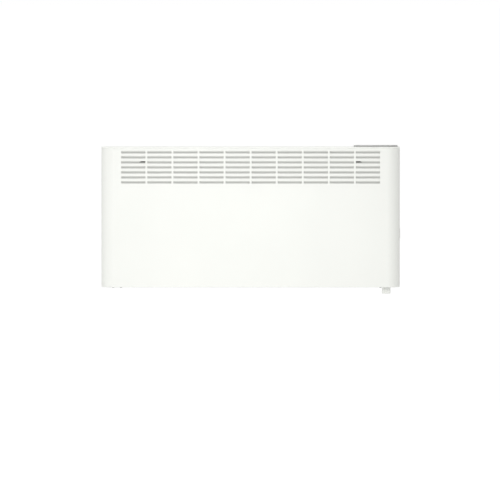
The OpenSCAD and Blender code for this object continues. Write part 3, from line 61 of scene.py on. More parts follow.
def mathNode(tree, operation, at, first, second, clamp=False):
    node = addNode(tree, "ShaderNodeMath", at)
    node.operation = operation
    node.use_clamp = clamp
    feed(tree, first, node.inputs[0])
    feed(tree, second, node.inputs[1])
    return node.outputs[0]


def newGroup(name, inputs, outputs):
    group = bpy.data.node_groups.new(name, "ShaderNodeTree")
    for label, value in inputs.items():
        kind = "NodeSocketVector" if isinstance(value, tuple) else "NodeSocketFloat"
        socket = group.interface.new_socket(label, in_out="INPUT", socket_type=kind)
        socket.default_value = value
    for label in outputs:
        group.interface.new_socket(label, in_out="OUTPUT", socket_type="NodeSocketFloat")
    giver = addNode(group, "NodeGroupInput", (-900, 0))
    taker = addNode(group, "NodeGroupOutput", (700, 0))
    return group, giver, taker


# fine random relief of a coating or a moulded skin: broad swell plus small cells
skinNoise = {"broadShare": 0.21, "mottleScale": 6.0}


def makeSkinRelief(look):
    group, giver, taker = newGroup("skinRelief", {"Scale": 900.0, "Swell": 0.5}, ["Height", "Mottle"])
    coord = addNode(group, "ShaderNodeTexCoord", (-900, -300))
    fine = addNode(group, "ShaderNodeTexNoise", (-500, 200), Detail=2.0, Roughness=0.55)
    broad = addNode(group, "ShaderNodeTexNoise", (-500, -100), Detail=3.0)
    slow = addNode(group, "ShaderNodeTexNoise", (-500, -400), Scale=look["mottleScale"], Detail=4.0)
    for noise in (fine, broad, slow):
        group.links.new(coord.outputs["Object"], noise.inputs["Vector"])
    group.links.new(giver.outputs["Scale"], fine.inputs["Scale"])
    broadScale = mathNode(group, "MULTIPLY", (-700, -100), giver.outputs["Scale"], look["broadShare"])
    group.links.new(broadScale, broad.inputs["Scale"])
    swell = mathNode(group, "MULTIPLY", (-200, -50), broad.outputs["Fac"], giver.outputs["Swell"])
    height = mathNode(group, "ADD", (0, 100), fine.outputs["Fac"], swell)
    group.links.new(height, taker.inputs["Height"])
    group.links.new(slow.outputs["Fac"], taker.inputs["Mottle"])
    return group


# worn or thin finish along convex edges, broken up by noise
rubNoise = {"bevelSamples": 4, "scale": 240.0, "gain": 9.0}


def makeEdgeRub(look):
    group, giver, taker = newGroup("edgeRub", {"Radius": 0.0006, "Amount": 1.0}, ["Mask"])
    bevel = addNode(group, "ShaderNodeBevel", (-600, 100))
    bevel.samples = look["bevelSamples"]
    geometry = addNode(group, "ShaderNodeNewGeometry", (-600, -150))
    coord = addNode(group, "ShaderNodeTexCoord", (-900, -300))
    noise = addNode(group, "ShaderNodeTexNoise", (-400, -350), Scale=look["scale"], Detail=4.0)
    group.links.new(coord.outputs["Object"], noise.inputs["Vector"])
    group.links.new(giver.outputs["Radius"], bevel.inputs["Radius"])
    dot = addNode(group, "ShaderNodeVectorMath", (-350, 0))
    dot.operation = "DOT_PRODUCT"
    group.links.new(bevel.outputs["Normal"], dot.inputs[0])
    group.links.new(geometry.outputs["Normal"], dot.inputs[1])
    turned = mathNode(group, "SUBTRACT", (-150, 0), 1.0, dot.outputs["Value"], clamp=True)
    broken = mathNode(group, "MULTIPLY", (50, -100), noise.outputs["Fac"], look["gain"])
    mask = mathNode(group, "MULTIPLY", (250, 0), turned, broken, clamp=True)
    scaled = mathNode(group, "MULTIPLY", (450, 0), mask, giver.outputs["Amount"], clamp=True)
    group.links.new(scaled, taker.inputs["Mask"])
    return group


# dust that settles on faces turned up; a higher power keeps it to the flattest of them
dustFall = {"power": 3.0}


def makeSettledDust(look):
    group, giver, taker = newGroup("settledDust", {"Scale": 60.0, "Amount": 0.3}, ["Mask"])
    geometry = addNode(group, "ShaderNodeNewGeometry", (-600, 100))
    split = addNode(group, "ShaderNodeSeparateXYZ", (-400, 100))
    group.links.new(geometry.outputs["Normal"], split.inputs[0])
    coord = addNode(group, "ShaderNodeTexCoord", (-900, -300))
    noise = addNode(group, "ShaderNodeTexNoise", (-400, -200), Detail=6.0, Roughness=0.7)
    group.links.new(coord.outputs["Object"], noise.inputs["Vector"])
    group.links.new(giver.outputs["Scale"], noise.inputs["Scale"])
    upward = mathNode(group, "MAXIMUM", (-300, 100), split.outputs["Z"], 0.0)
    faceUp = mathNode(group, "POWER", (-150, 100), upward, look["power"])
    patch = mathNode(group, "MULTIPLY", (50, 0), faceUp, noise.outputs["Fac"])
    scaled = mathNode(group, "MULTIPLY", (250, 0), patch, giver.outputs["Amount"], clamp=True)
    group.links.new(scaled, taker.inputs["Mask"])
    return group


# crystals of a hot-dip zinc coat, their borders bent by noise
spangleNoise = {"wobbleScale": 70.0, "bend": 0.005}


def makeZincSpangle(look):
    group, giver, taker = newGroup("zincSpangle", {"Scale": 110.0}, ["Shade", "Height"])
    coord = addNode(group, "ShaderNodeTexCoord", (-900, -300))
    wobble = addNode(group, "ShaderNodeTexNoise", (-700, -100), Scale=look["wobbleScale"], Detail=3.0)
    group.links.new(coord.outputs["Object"], wobble.inputs["Vector"])
    bent = addNode(group, "ShaderNodeVectorMath", (-500, -100))
    bent.operation = "MULTIPLY_ADD"
    bent.inputs[1].default_value = [look["bend"]] * 3
    group.links.new(wobble.outputs["Color"], bent.inputs[0])
    group.links.new(coord.outputs["Object"], bent.inputs[2])
    cells = addNode(group, "ShaderNodeTexVoronoi", (-300, 0))
    group.links.new(bent.outputs["Vector"], cells.inputs["Vector"])
    group.links.new(giver.outputs["Scale"], cells.inputs["Scale"])
    tone = addNode(group, "ShaderNodeSeparateColor", (-100, 0))
    group.links.new(cells.outputs["Color"], tone.inputs[0])
    group.links.new(tone.outputs["Red"], taker.inputs["Shade"])
    group.links.new(tone.outputs["Green"], taker.inputs["Height"])
    return group


# long fine lines left by rolling or drawing
lineNoise = {"broadScale": 14.0}


def makeDrawnLines(look):
    inputs = {"Scale": 300.0, "Stretch": (0.02, 1.0, 1.0)}
    group, giver, taker = newGroup("drawnLines", inputs, ["Height", "Shade"])
    coord = addNode(group, "ShaderNodeTexCoord", (-900, -300))
    scaled = addNode(group, "ShaderNodeVectorMath", (-600, 0))
    scaled.operation = "MULTIPLY"
    group.links.new(coord.outputs["Object"], scaled.inputs[0])
    group.links.new(giver.outputs["Stretch"], scaled.inputs[1])
    lines = addNode(group, "ShaderNodeTexNoise", (-350, 100), Detail=5.0, Roughness=0.65)
    broad = addNode(group, "ShaderNodeTexNoise", (-350, -200), Scale=look["broadScale"], Detail=2.0)
    group.links.new(scaled.outputs["Vector"], lines.inputs["Vector"])
    group.links.new(coord.outputs["Object"], broad.inputs["Vector"])
    group.links.new(giver.outputs["Scale"], lines.inputs["Scale"])
    group.links.new(lines.outputs["Fac"], taker.inputs["Height"])
    shade = mathNode(group, "MULTIPLY", (0, -100), lines.outputs["Fac"], broad.outputs["Fac"])
    group.links.new(shade, taker.inputs["Shade"])
    return group


skinRelief = makeSkinRelief(skinNoise)
edgeRub = makeEdgeRub(rubNoise)
settledDust = makeSettledDust(dustFall)
zincSpangle = makeZincSpangle(spangleNoise)
drawnLines = makeDrawnLines(lineNoise)
print("effect groups ready")


def place(tree, group, at, **inputs):
    node = addNode(tree, "ShaderNodeGroup", at)
    node.node_tree = group
    for name, value in inputs.items():
        node.inputs[name].default_value = value
    return node


def mixColour(tree, at, factor, first, second):
    mix = addNode(tree, "ShaderNodeMix", at)
    mix.data_type = "RGBA"
    tree.links.new(factor, mix.inputs["Factor"])
    feed(tree, first, mix.inputs["A"])
    feed(tree, second, mix.inputs["B"])
    return mix.outputs["Result"]


def spread(tree, at, value, low, high, fromLow=0.3, fromHigh=0.7):
    node = addNode(tree, "ShaderNodeMapRange", at)
    node.inputs["From Min"].default_value = fromLow
    node.inputs["From Max"].default_value = fromHigh
    node.inputs["To Min"].default_value = low
    node.inputs["To Max"].default_value = high
    tree.links.new(value, node.inputs["Value"])
    return node.outputs["Result"]


def startMaterial(name, look):
    material = bpy.data.materials.new(name)
    material.use_nodes = True
    tree = material.node_tree
    shader = tree.nodes["Principled BSDF"]
    shader.inputs["Metallic"].default_value = look.get("metallic", 0.0)
    shader.inputs["Specular IOR Level"].default_value = look.get("specular", 0.5)
    shader.inputs["Coat Weight"].default_value = look.get("coat", 0.0)
    shader.inputs["Coat Roughness"].default_value = look.get("coatRough", 0.1)
    material.diffuse_color = (*look["colour"], 1.0)
    return material, tree, shader


def addBump(tree, shader, height, look):
    bump = addNode(tree, "ShaderNodeBump", (100, -300))
    bump.inputs["Distance"].default_value = look["reliefDepth"]
    bump.inputs["Strength"].default_value = look.get("reliefStrength", 0.6)
    tree.links.new(height, bump.inputs["Height"])
    tree.links.new(bump.outputs["Normal"], shader.inputs["Normal"])


def roughRange(look):
    return look["rough"] - look["roughSpread"], look["rough"] + look["roughSpread"]


# what settles in a room: pale on coatings, greyer on bare zinc, thin on glass
dustColours = {"coating": (0.62, 0.6, 0.57), "zinc": (0.5, 0.48, 0.45), "glass": (0.3, 0.3, 0.3)}


# painted, moulded, ceramic and rubber finishes
def coatedFinish(name, look):
    material, tree, shader = startMaterial(name, look)
    relief = place(tree, skinRelief, (-700, 0), Scale=look["reliefScale"], Swell=look.get("swell", 0.6))
    rub = place(tree, edgeRub, (-700, -250), Amount=look["edgeAmount"])
    dust = place(tree, settledDust, (-700, -500), Amount=look["dust"])
    blend = spread(tree, (-550, 250), relief.outputs["Mottle"], 0.0, 1.0)
    mottled = mixColour(tree, (-400, 200), blend, look["colour"], look["mottle"])
    rubbed = mixColour(tree, (-200, 200), rub.outputs["Mask"], mottled, look["edgeColour"])
    dusty = mixColour(tree, (0, 200), dust.outputs["Mask"], rubbed, dustColours["coating"])
    tree.links.new(dusty, shader.inputs["Base Color"])
    rough = spread(tree, (-200, -50), relief.outputs["Mottle"], *roughRange(look))
    dulled = mathNode(tree, "ADD", (0, -50), rough, dust.outputs["Mask"], clamp=True)
    tree.links.new(dulled, shader.inputs["Roughness"])
    addBump(tree, shader, relief.outputs["Height"], look)
    return material


# zinc-coated sheet
def zincFinish(name, look):
    material, tree, shader = startMaterial(name, look)
    spangle = place(tree, zincSpangle, (-700, 0), Scale=look["spangleScale"])
    lines = place(tree, drawnLines, (-700, -250), Scale=look["lineScale"], Stretch=look["grainStretch"])
    dust = place(tree, settledDust, (-700, -500), Amount=look["dust"])
    toned = mixColour(tree, (-350, 200), spangle.outputs["Shade"], look["colour"], look["crystal"])
    streaks = spread(tree, (-350, -50), lines.outputs["Shade"], 0.0, look["streakAmount"])
    streaked = mixColour(tree, (-150, 200), streaks, toned, look["streak"])
    dusty = mixColour(tree, (50, 200), dust.outputs["Mask"], streaked, dustColours["zinc"])
    tree.links.new(dusty, shader.inputs["Base Color"])
    rough = spread(tree, (-150, -50), spangle.outputs["Shade"], *roughRange(look), 0.0, 1.0)
    tree.links.new(rough, shader.inputs["Roughness"])
    height = mathNode(tree, "ADD", (-50, -300), spangle.outputs["Height"], lines.outputs["Height"])
    addBump(tree, shader, height, look)
    return material


# plated, drawn or rolled bare metal
def metalFinish(name, look):
    material, tree, shader = startMaterial(name, look)
    lines = place(tree, drawnLines, (-700, 0), Scale=look["lineScale"], Stretch=look["grainStretch"])
    rub = place(tree, edgeRub, (-700, -250), Radius=look["edgeRadius"], Amount=look["edgeAmount"])
    relief = place(tree, skinRelief, (-700, -450), Scale=500.0, Swell=0.5)
    blend = spread(tree, (-500, 250), lines.outputs["Height"], 0.0, 1.0)
    toned = mixColour(tree, (-350, 200), blend, look["colour"], look["tone"])
    stains = spread(tree, (-350, -250), relief.outputs["Mottle"], 0.0, look["stainAmount"])
    stained = mixColour(tree, (-150, 200), stains, toned, look["stain"])
    edged = mixColour(tree, (50, 200), rub.outputs["Mask"], stained, look["edgeColour"])
    tree.links.new(edged, shader.inputs["Base Color"])
    rough = spread(tree, (-150, -50), lines.outputs["Height"], *roughRange(look))
    tree.links.new(rough, shader.inputs["Roughness"])
    addBump(tree, shader, lines.outputs["Height"], look)
    return material


# glass front over the display: dark, polished, with faint wiping marks
def glassFinish(name, look):
    material, tree, shader = startMaterial(name, look)
    relief = place(tree, skinRelief, (-700, 0), Scale=look["wipeScale"], Swell=0.4)
    dust = place(tree, settledDust, (-700, -300), Scale=look["dustScale"], Amount=look["dust"])
    dusty = mixColour(tree, (-200, 200), dust.outputs["Mask"], look["colour"], dustColours["glass"])
    tree.links.new(dusty, shader.inputs["Base Color"])
    rough = spread(tree, (-200, -50), relief.outputs["Mottle"], look["roughLow"], look["roughHigh"])
    tree.links.new(rough, shader.inputs["Roughness"])
    addBump(tree, shader, relief.outputs["Height"], look)
    return material


# fibre board with a green mask: copper runs show through it, along or across by patch, with small eyes
def boardFinish(name, look):
    material, tree, shader = startMaterial(name, look)
    coord = addNode(tree, "ShaderNodeTexCoord", (-1500, 0))
    split = addNode(tree, "ShaderNodeSeparateXYZ", (-1300, 200))
    patches = addNode(tree, "ShaderNodeTexVoronoi", (-1300, -100), Scale=look["patchScale"])
    patches.distance = "CHEBYCHEV"
    eyes = addNode(tree, "ShaderNodeTexVoronoi", (-900, -400), Scale=look["eyeScale"])
    for node in (split, patches, eyes):
        tree.links.new(coord.outputs["Object"], node.inputs["Vector"])
    pick = addNode(tree, "ShaderNodeSeparateColor", (-1100, -100))
    tree.links.new(patches.outputs["Color"], pick.inputs[0])
    turned = mathNode(tree, "GREATER_THAN", (-900, -100), pick.outputs["Red"], 0.5)
    filled = mathNode(tree, "GREATER_THAN", (-900, -250), pick.outputs["Green"], look["bareShare"])
    across = mathNode(tree, "ADD", (-1100, 200), split.outputs["Y"], split.outputs["Z"])
    step = mathNode(tree, "SUBTRACT", (-900, 200), across, split.outputs["X"])
    shifted = mathNode(tree, "MULTIPLY", (-750, 100), step, turned)
    chosen = mathNode(tree, "ADD", (-600, 100), shifted, split.outputs["X"])
    band = mathNode(tree, "PINGPONG", (-450, 100), chosen, look["runPitch"] / 2)
    lines = mathNode(tree, "LESS_THAN", (-300, 100), band, look["runWidth"] / 2)
    laid = mathNode(tree, "MULTIPLY", (-150, 100), lines, filled)
    dots = mathNode(tree, "LESS_THAN", (-700, -400), eyes.outputs["Distance"], look["eyeRadius"])
    runs = mathNode(tree, "MAXIMUM", (0, 100), laid, dots)
    relief = place(tree, skinRelief, (-700, -650), Scale=1600.0, Swell=0.3)
    masked = mixColour(tree, (150, 200), runs, look["colour"], look["run"])
    blend = spread(tree, (150, -50), relief.outputs["Mottle"], 0.0, look["deepAmount"])
    toned = mixColour(tree, (300, 200), blend, masked, look["deep"])
    tree.links.new(toned, shader.inputs["Base Color"])
    rough = spread(tree, (300, -50), relief.outputs["Mottle"], look["roughLow"], look["roughHigh"])
    tree.links.new(rough, shader.inputs["Roughness"])
    weave = mathNode(tree, "MULTIPLY", (-250, -650), relief.outputs["Height"], look["weaveShare"])
    addBump(tree, shader, mathNode(tree, "ADD", (-50, -650), runs, weave), look)
    return material


# woven or extruded sleeve of a lead
def sleeveFinish(name, look):
    material, tree, shader = startMaterial(name, look)
    coord = addNode(tree, "ShaderNodeTexCoord", (-1100, 0))
    weave = addNode(tree, "ShaderNodeTexVoronoi", (-850, -100), Scale=look["weaveScale"])
    tree.links.new(coord.outputs["Object"], weave.inputs["Vector"])
    blend = spread(tree, (-600, -100), weave.outputs["Distance"], 0.0, look["gapAmount"], 0.0, 1.0)
    woven = mixColour(tree, (-350, 200), blend, look["colour"], look["gap"])
    dust = place(tree, settledDust, (-700, -500), Amount=look["dust"])
    dusty = mixColour(tree, (-150, 200), dust.outputs["Mask"], woven, dustColours["coating"])
    tree.links.new(dusty, shader.inputs["Base Color"])
    high = look["rough"] + look["gapRough"]
    rough = spread(tree, (-350, -50), weave.outputs["Distance"], look["rough"], high, 0.0, 1.0)
    tree.links.new(rough, shader.inputs["Roughness"])
    addBump(tree, shader, weave.outputs["Distance"], look)
    return material


powderCoat = {
    "colour": (0.925, 0.935, 0.893),
    "mottle": (0.915, 0.926, 0.885),
    "edgeColour": (0.94, 0.945, 0.925),
    "edgeAmount": 0.25,
    "rough": 0.46,
    "roughSpread": 0.04,
    "reliefScale": 1100.0,
    "reliefDepth": 0.00004,
    "reliefStrength": 0.5,
    "swell": 1.2,
    "dust": 0.05,
}
# the louvre slats: the white powder coat darkened as painted shade, standing in for the shadow deep behind
# the slots
slatCoatPaintedShade = dict(powderCoat, colour=(0.76, 0.77, 0.735), mottle=(0.75, 0.76, 0.725), dust=0.08)
unitGrey = {
    "colour": (0.47, 0.47, 0.462),
    "mottle": (0.45, 0.45, 0.443),
    "edgeColour": (0.56, 0.56, 0.55),
    "edgeAmount": 0.3,
    "rough": 0.72,
    "roughSpread": 0.06,
    "specular": 0.15,
    "reliefScale": 2600.0,
    "reliefDepth": 0.00002,
    "reliefStrength": 0.5,
    "dust": 0.05,
}
sensorWhite = dict(unitGrey, colour=(0.94, 0.95, 0.905), mottle=(0.93, 0.94, 0.895),
                   edgeColour=(0.95, 0.955, 0.93))
keyCap = dict(unitGrey, colour=(0.66, 0.66, 0.655), mottle=(0.64, 0.64, 0.635),
              edgeColour=(0.75, 0.75, 0.745), rough=0.45, specular=0.4)
markInk = dict(unitGrey, colour=(0.06, 0.06, 0.065), mottle=(0.075, 0.075, 0.08),
               edgeColour=(0.1, 0.1, 0.1), rough=0.5, specular=0.4)
blackMoulding = {
    "colour": (0.022, 0.022, 0.023),
    "mottle": (0.03, 0.03, 0.031),
    "edgeColour": (0.09, 0.09, 0.09),
    "edgeAmount": 0.5,
    "rough": 0.48,
    "roughSpread": 0.08,
    "reliefScale": 2200.0,
    "reliefDepth": 0.00003,
    "dust": 0.1,
}
blackRubber = dict(blackMoulding, colour=(0.016, 0.016, 0.017), rough=0.78, roughSpread=0.06, dust=0.25)
blueMoulding = dict(blackMoulding, colour=(0.03, 0.06, 0.16), mottle=(0.04, 0.07, 0.18),
                    edgeColour=(0.12, 0.16, 0.28))
tapeYellow = dict(blackMoulding, colour=(0.62, 0.42, 0.04), mottle=(0.56, 0.37, 0.03),
                  edgeColour=(0.7, 0.52, 0.12), rough=0.3, roughSpread=0.05)
ceramicBody = {
    "colour": (0.78, 0.74, 0.66),
    "mottle": (0.7, 0.66, 0.58),
    "edgeColour": (0.86, 0.83, 0.77),
    "edgeAmount": 0.4,
    "rough": 0.7,
    "roughSpread": 0.1,
    "reliefScale": 1500.0,
    "reliefDepth": 0.00004,
    "dust": 0.1,
}
whiteNylon = dict(ceramicBody, colour=(0.8, 0.8, 0.76), mottle=(0.76, 0.76, 0.71), rough=0.45,
                  roughSpread=0.05)
zincSheet = {
    "colour": (0.46, 0.475, 0.485),
    "crystal": (0.54, 0.555, 0.565),
    "streak": (0.41, 0.42, 0.43),
    "metallic": 0.85,
    "rough": 0.42,
    "roughSpread": 0.08,
    "spangleScale": 210.0,
    "streakAmount": 0.35,
    "lineScale": 260.0,
    "grainStretch": (0.03, 1.0, 1.0),
    "reliefDepth": 0.00002,
    "reliefStrength": 0.4,
    "dust": 0.2,
}
platedSteel = {
    "colour": (0.6, 0.6, 0.58),
    "tone": (0.68, 0.67, 0.64),
    "stain": (0.5, 0.49, 0.44),
    "stainAmount": 0.4,
    "edgeColour": (0.78, 0.78, 0.76),
    "edgeRadius": 0.0004,
    "edgeAmount": 0.5,
    "metallic": 1.0,
    "rough": 0.3,
    "roughSpread": 0.08,
    "lineScale": 900.0,
    "grainStretch": (1.0, 1.0, 1.0),
    "reliefDepth": 0.00002,
}
tubeSteel = dict(platedSteel, colour=(0.42, 0.38, 0.32), tone=(0.5, 0.46, 0.4), stain=(0.26, 0.2, 0.16),
                 stainAmount=0.8, rough=0.38, lineScale=500.0, grainStretch=(0.02, 1.0, 1.0))
finAluminium = dict(platedSteel, colour=(0.74, 0.75, 0.76), tone=(0.8, 0.81, 0.82),
                    stain=(0.66, 0.66, 0.65), rough=0.36, lineScale=700.0, grainStretch=(1.0, 0.05, 1.0))
brassTab = dict(platedSteel, colour=(0.72, 0.56, 0.26), tone=(0.78, 0.62, 0.32), stain=(0.5, 0.36, 0.18),
                edgeColour=(0.86, 0.72, 0.42))
solder = dict(platedSteel, colour=(0.62, 0.63, 0.64), tone=(0.72, 0.73, 0.74),
              stain=(0.46, 0.46, 0.46), rough=0.24)
displayGlass = {
    "colour": (0.012, 0.014, 0.016),
    "coat": 0.6,
    "coatRough": 0.03,
    "roughLow": 0.04,
    "roughHigh": 0.14,
    "wipeScale": 60.0,
    "dust": 0.12,
    "dustScale": 220.0,
    "reliefDepth": 0.00001,
    "reliefStrength": 0.1,
}
circuitBoard = {
    "colour": (0.01, 0.1, 0.035),
    "run": (0.03, 0.19, 0.07),
    "deep": (0.006, 0.06, 0.02),
    "deepAmount": 0.3,
    "roughLow": 0.25,
    "roughHigh": 0.4,
    "patchScale": 75.0,
    "bareShare": 0.3,
    "runPitch": 0.0016,
    "runWidth": 0.0006,
    "eyeScale": 210.0,
    "eyeRadius": 0.12,
    "coat": 0.3,
    "weaveShare": 0.2,
    "reliefDepth": 0.00005,
    "reliefStrength": 0.4,
}
mainsSleeve = {
    "colour": (0.17, 0.08, 0.04),
    "gap": (0.1, 0.05, 0.025),
    "gapAmount": 0.3,
    "rough": 0.4,
    "gapRough": 0.15,
    "weaveScale": 2600.0,
    "dust": 0.08,
    "reliefDepth": 0.00001,
}
sensorSleeve = dict(mainsSleeve, colour=(0.05, 0.05, 0.052), gap=(0.03, 0.03, 0.031))
ribbonSleeve = dict(mainsSleeve, colour=(0.5, 0.5, 0.52), gap=(0.4, 0.4, 0.42))
glassSleeve = dict(mainsSleeve, colour=(0.76, 0.74, 0.68), gap=(0.5, 0.47, 0.42), gapAmount=0.5, rough=0.6,
                   weaveScale=1500.0, reliefDepth=0.00006)

finishes = {
    "powderCoat": coatedFinish("powderCoat", powderCoat),
    "slatCoatPaintedShade": coatedFinish("slatCoatPaintedShade", slatCoatPaintedShade),
    "unitGrey": coatedFinish("unitGrey", unitGrey),
    "sensorWhite": coatedFinish("sensorWhite", sensorWhite),
    "keyCap": coatedFinish("keyCap", keyCap),
    "markInk": coatedFinish("markInk", markInk),
    "blackMoulding": coatedFinish("blackMoulding", blackMoulding),
    "blackRubber": coatedFinish("blackRubber", blackRubber),
    "blueMoulding": coatedFinish("blueMoulding", blueMoulding),
    "tapeYellow": coatedFinish("tapeYellow", tapeYellow),
    "ceramicBody": coatedFinish("ceramicBody", ceramicBody),
    "whiteNylon": coatedFinish("whiteNylon", whiteNylon),
    "zincSheet": zincFinish("zincSheet", zincSheet),
    "platedSteel": metalFinish("platedSteel", platedSteel),
    "tubeSteel": metalFinish("tubeSteel", tubeSteel),
    "finAluminium": metalFinish("finAluminium", finAluminium),
    "brassTab": metalFinish("brassTab", brassTab),
    "solder": metalFinish("solder", solder),
    "displayGlass": glassFinish("displayGlass", displayGlass),
    "circuitBoard": boardFinish("circuitBoard", circuitBoard),
    "mainsSleeve": sleeveFinish("mainsSleeve", mainsSleeve),
    "glassSleeve": sleeveFinish("glassSleeve", glassSleeve),
    "sensorSleeve": sleeveFinish("sensorSleeve", sensorSleeve),
    "ribbonSleeve": sleeveFinish("ribbonSleeve", ribbonSleeve),
}
print("finishes ready:", len(finishes))

# which solids of the part wear each finish
finishNodes = {
    "powderCoat": ["front_casing", "top_cover"],
    # the slats wear the darkened coat, which is painted shade
    "slatCoatPaintedShade": ["louvre_insert"],
    "unitGrey": ["control_housing", "switch_housing"],
    "sensorWhite": ["wall_spacers", "sensor_housing"],
    "keyCap": ["key_menu", "key_minus", "key_plus", "key_ok", "switch_rocker"],
    "blackMoulding": [
        "lock_left", "lock_right", "thermal_limiter", "control_tray", "key_switches",
        "board_capacitors", "board_transformer", "cable_gland", "gland_nut",
    ],
    "blackRubber": ["spacer_tips"],
    "blueMoulding": ["board_relay"],
    "ceramicBody": ["tube_bushings", "board_fuse"],
    "whiteNylon": ["board_headers", "board_standoffs", "terminal_block"],
    "zincSheet": [
        "rear_panel", "bottom_grille", "bracket_rail", "bracket_arm_left", "bracket_arm_right",
        "heat_shield", "air_deflector", "left_end_plate", "partition_plate", "limiter_bracket",
    ],
    "platedSteel": [
        "bracket_rivets", "tube_terminals", "thermal_fuse", "board_screws", "terminal_screws",
        "earth_stud", "casing_screws", "cover_screws",
    ],
    "tubeSteel": ["heating_tube"],
    "finAluminium": ["element_fins", "heat_sink"],
    "brassTab": ["switch_tabs"],
    "displayGlass": ["display_lens", "lcd_module"],
    "circuitBoard": ["control_board", "power_board", "temperature_sensor"],
    "mainsSleeve": ["mains_leads"],
    "sensorSleeve": ["sensor_lead"],
    "glassSleeve": ["element_leads", "limiter_leads"],
    "ribbonSleeve": ["control_ribbon"],
}
for finish, names in finishNodes.items():
    for name in names:
        nodes[name].data.materials.clear()
        nodes[name].data.materials.append(finishes[finish])
print("nodes dressed:", sum(len(names) for names in finishNodes.values()))


# helpers for the small pieces; all sizes in metres
sharpAngle = math.radians(32)  # edges that turn by more stay crisp


def newPiece(name, shape, finish, body="heater"):
    bmesh.ops.recalc_face_normals(shape, faces=shape.faces)
    mesh = bpy.data.meshes.new(name)
    shape.to_mesh(mesh)
    shape.free()
    mesh.shade_smooth()
    mesh.set_sharp_from_angle(angle=sharpAngle)
    mesh.materials.append(finishes[finish])
    piece = bpy.data.objects.new(name, mesh)
    bpy.context.scene.collection.objects.link(piece)
    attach(piece, body)


# block between two corners, its edges rounded where a width is given
def addBlock(shape, low, high, edge=0.0):
    corners = bmesh.ops.create_cube(shape, size=1.0)["verts"]
    for vert in corners:
        vert.co = [lo + (c + 0.5) * (hi - lo) for c, lo, hi in zip(vert.co, low, high)]
    if edge:
        edges = list({line for vert in corners for line in vert.link_edges})
        bmesh.ops.bevel(shape, geom=edges, offset=edge, segments=2, affect="EDGES", profile=0.6)


# turned form: (radius, distance) pairs about an axis, closed on itself or capped at both ends
def addTurned(shape, centre, axis, profile, capped=False, steps=20):
    along = Vector(axis)
    side = along.orthogonal().normalized()
    other = along.cross(side)
    rings = []
    for k in range(steps):
        turn = 2 * math.pi * k / steps
        out = side * math.cos(turn) + other * math.sin(turn)
        rings.append([shape.verts.new(Vector(centre) + out * r + along * d) for r, d in profile])
    count = len(profile)
    for k in range(steps):
        here, there = rings[k], rings[(k + 1) % steps]
        for i in range(count - 1 if capped else count):
            j = (i + 1) % count
            shape.faces.new((here[i], there[i], there[j], here[j]))
    if capped:
        for i in (0, count - 1):
            shape.faces.new([ring[i] for ring in rings])


# soft white bead in the joint under the cover, which keeps it from rattling on the casing
coverSeal = {
    "halfWidth": 0.447,
    "frontY": -0.1,
    "rearY": -0.016,
    "cornerR": 0.035,
    "inset": 0.00055,
    "height": 0.04411,
    "radius": 0.00027,
    "cornerSteps": 18,
    "sides": 8,
}


# points round the front of the casing, each with its outward direction
def sealPath(look):
    edge, front = look["halfWidth"] - look["inset"], look["frontY"] + look["inset"]
    bend = look["cornerR"] - look["inset"]
    path = [((-edge, look["rearY"]), (-1, 0))]
    for side in (-1, 1):
        for k in range(look["cornerSteps"] + 1):
            part = k / look["cornerSteps"]
            turn = math.radians(90 * (part if side < 0 else 1 - part))
            out = (side * math.cos(turn), -math.sin(turn))
            spot = (side * (edge - bend) + out[0] * bend, front + bend + out[1] * bend)
            path.append((spot, out))
    path.append(((edge, look["rearY"]), (1, 0)))
    return path


def makeCoverSeal(look):
    shape = bmesh.new()
    rings = []
    sides = look["sides"]
    for (x, y), (outX, outY) in sealPath(look):
        ring = []
        for k in range(sides):
            turn = 2 * math.pi * k / sides
            out, up = look["radius"] * math.cos(turn), look["radius"] * math.sin(turn)
            ring.append(shape.verts.new((x + outX * out, y + outY * out, look["height"] + up)))
        rings.append(ring)
    for here, there in zip(rings, rings[1:]):
        for k in range(sides):
            shape.faces.new((here[k], here[(k + 1) % sides], there[(k + 1) % sides], there[k]))
    shape.faces.new(rings[0])
    shape.faces.new(rings[-1])
    newPiece("cover_seal", shape, "powderCoat")
    print("cover seal laid:", len(rings), "rings")


makeCoverSeal(coverSeal)

# ink in the shallow marks of the keys: the floor of each groove, lifted and given a thickness
keyInk = {"lift": 0.00005, "thickness": 0.00008, "shallowest": 0.0001, "deepest": 0.0004, "level": 0.999}


def makeKeyInk(nodeName, look):
    mesh = nodes[nodeName].data
    top = max(vert.co.z for vert in mesh.vertices)
    shape = bmesh.new()
    made = {}
    for face in mesh.polygons:
        depth = top - face.center.z
        if face.normal.z < look["level"] or not look["shallowest"] < depth < look["deepest"]:
            continue
        corners = []
        for index in face.vertices:
            spot = mesh.vertices[index].co
            key = tuple(round(c, 6) for c in spot)
            if key not in made:
                made[key] = shape.verts.new(spot + Vector((0, 0, look["lift"])))
            corners.append(made[key])
        shape.faces.new(corners)
    grown = bmesh.ops.extrude_face_region(shape, geom=shape.faces[:])["geom"]
    raised = [item for item in grown if isinstance(item, bmesh.types.BMVert)]
    bmesh.ops.translate(shape, vec=(0, 0, look["thickness"]), verts=raised)
    newPiece("ink_" + nodeName, shape, "markInk", nodeName)


for keyName in ("key_menu", "key_minus", "key_plus", "key_ok"):
    makeKeyInk(keyName, keyInk)
print("key marks inked")

# on and off marks printed on the two faces of the rocker
rockerMark = {
    "thickness": 0.00008,
    "barLength": 0.0042,
    "barWidth": 0.0008,
    "ringRadius": 0.0021,
    "ringWidth": 0.0007,
    "ringSteps": 36,
}


# middle and normal of the big flat face in the rocker's upper or lower half
def rockerFace(upper):
    mesh = nodes["switch_rocker"].data
    low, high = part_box("switch_rocker")
    middle = (low[2] + high[2]) / 2
    side = [face for face in mesh.polygons if face.normal.x > 0.9 and (face.center.z > middle) == upper]
    normal = max(side, key=lambda face: face.area).normal.copy()
    flat = [face for face in side if face.normal.dot(normal) > 0.9999]
    area = sum(face.area for face in flat)
    centre = sum((face.center * face.area for face in flat), Vector()) / area
    return centre, normal


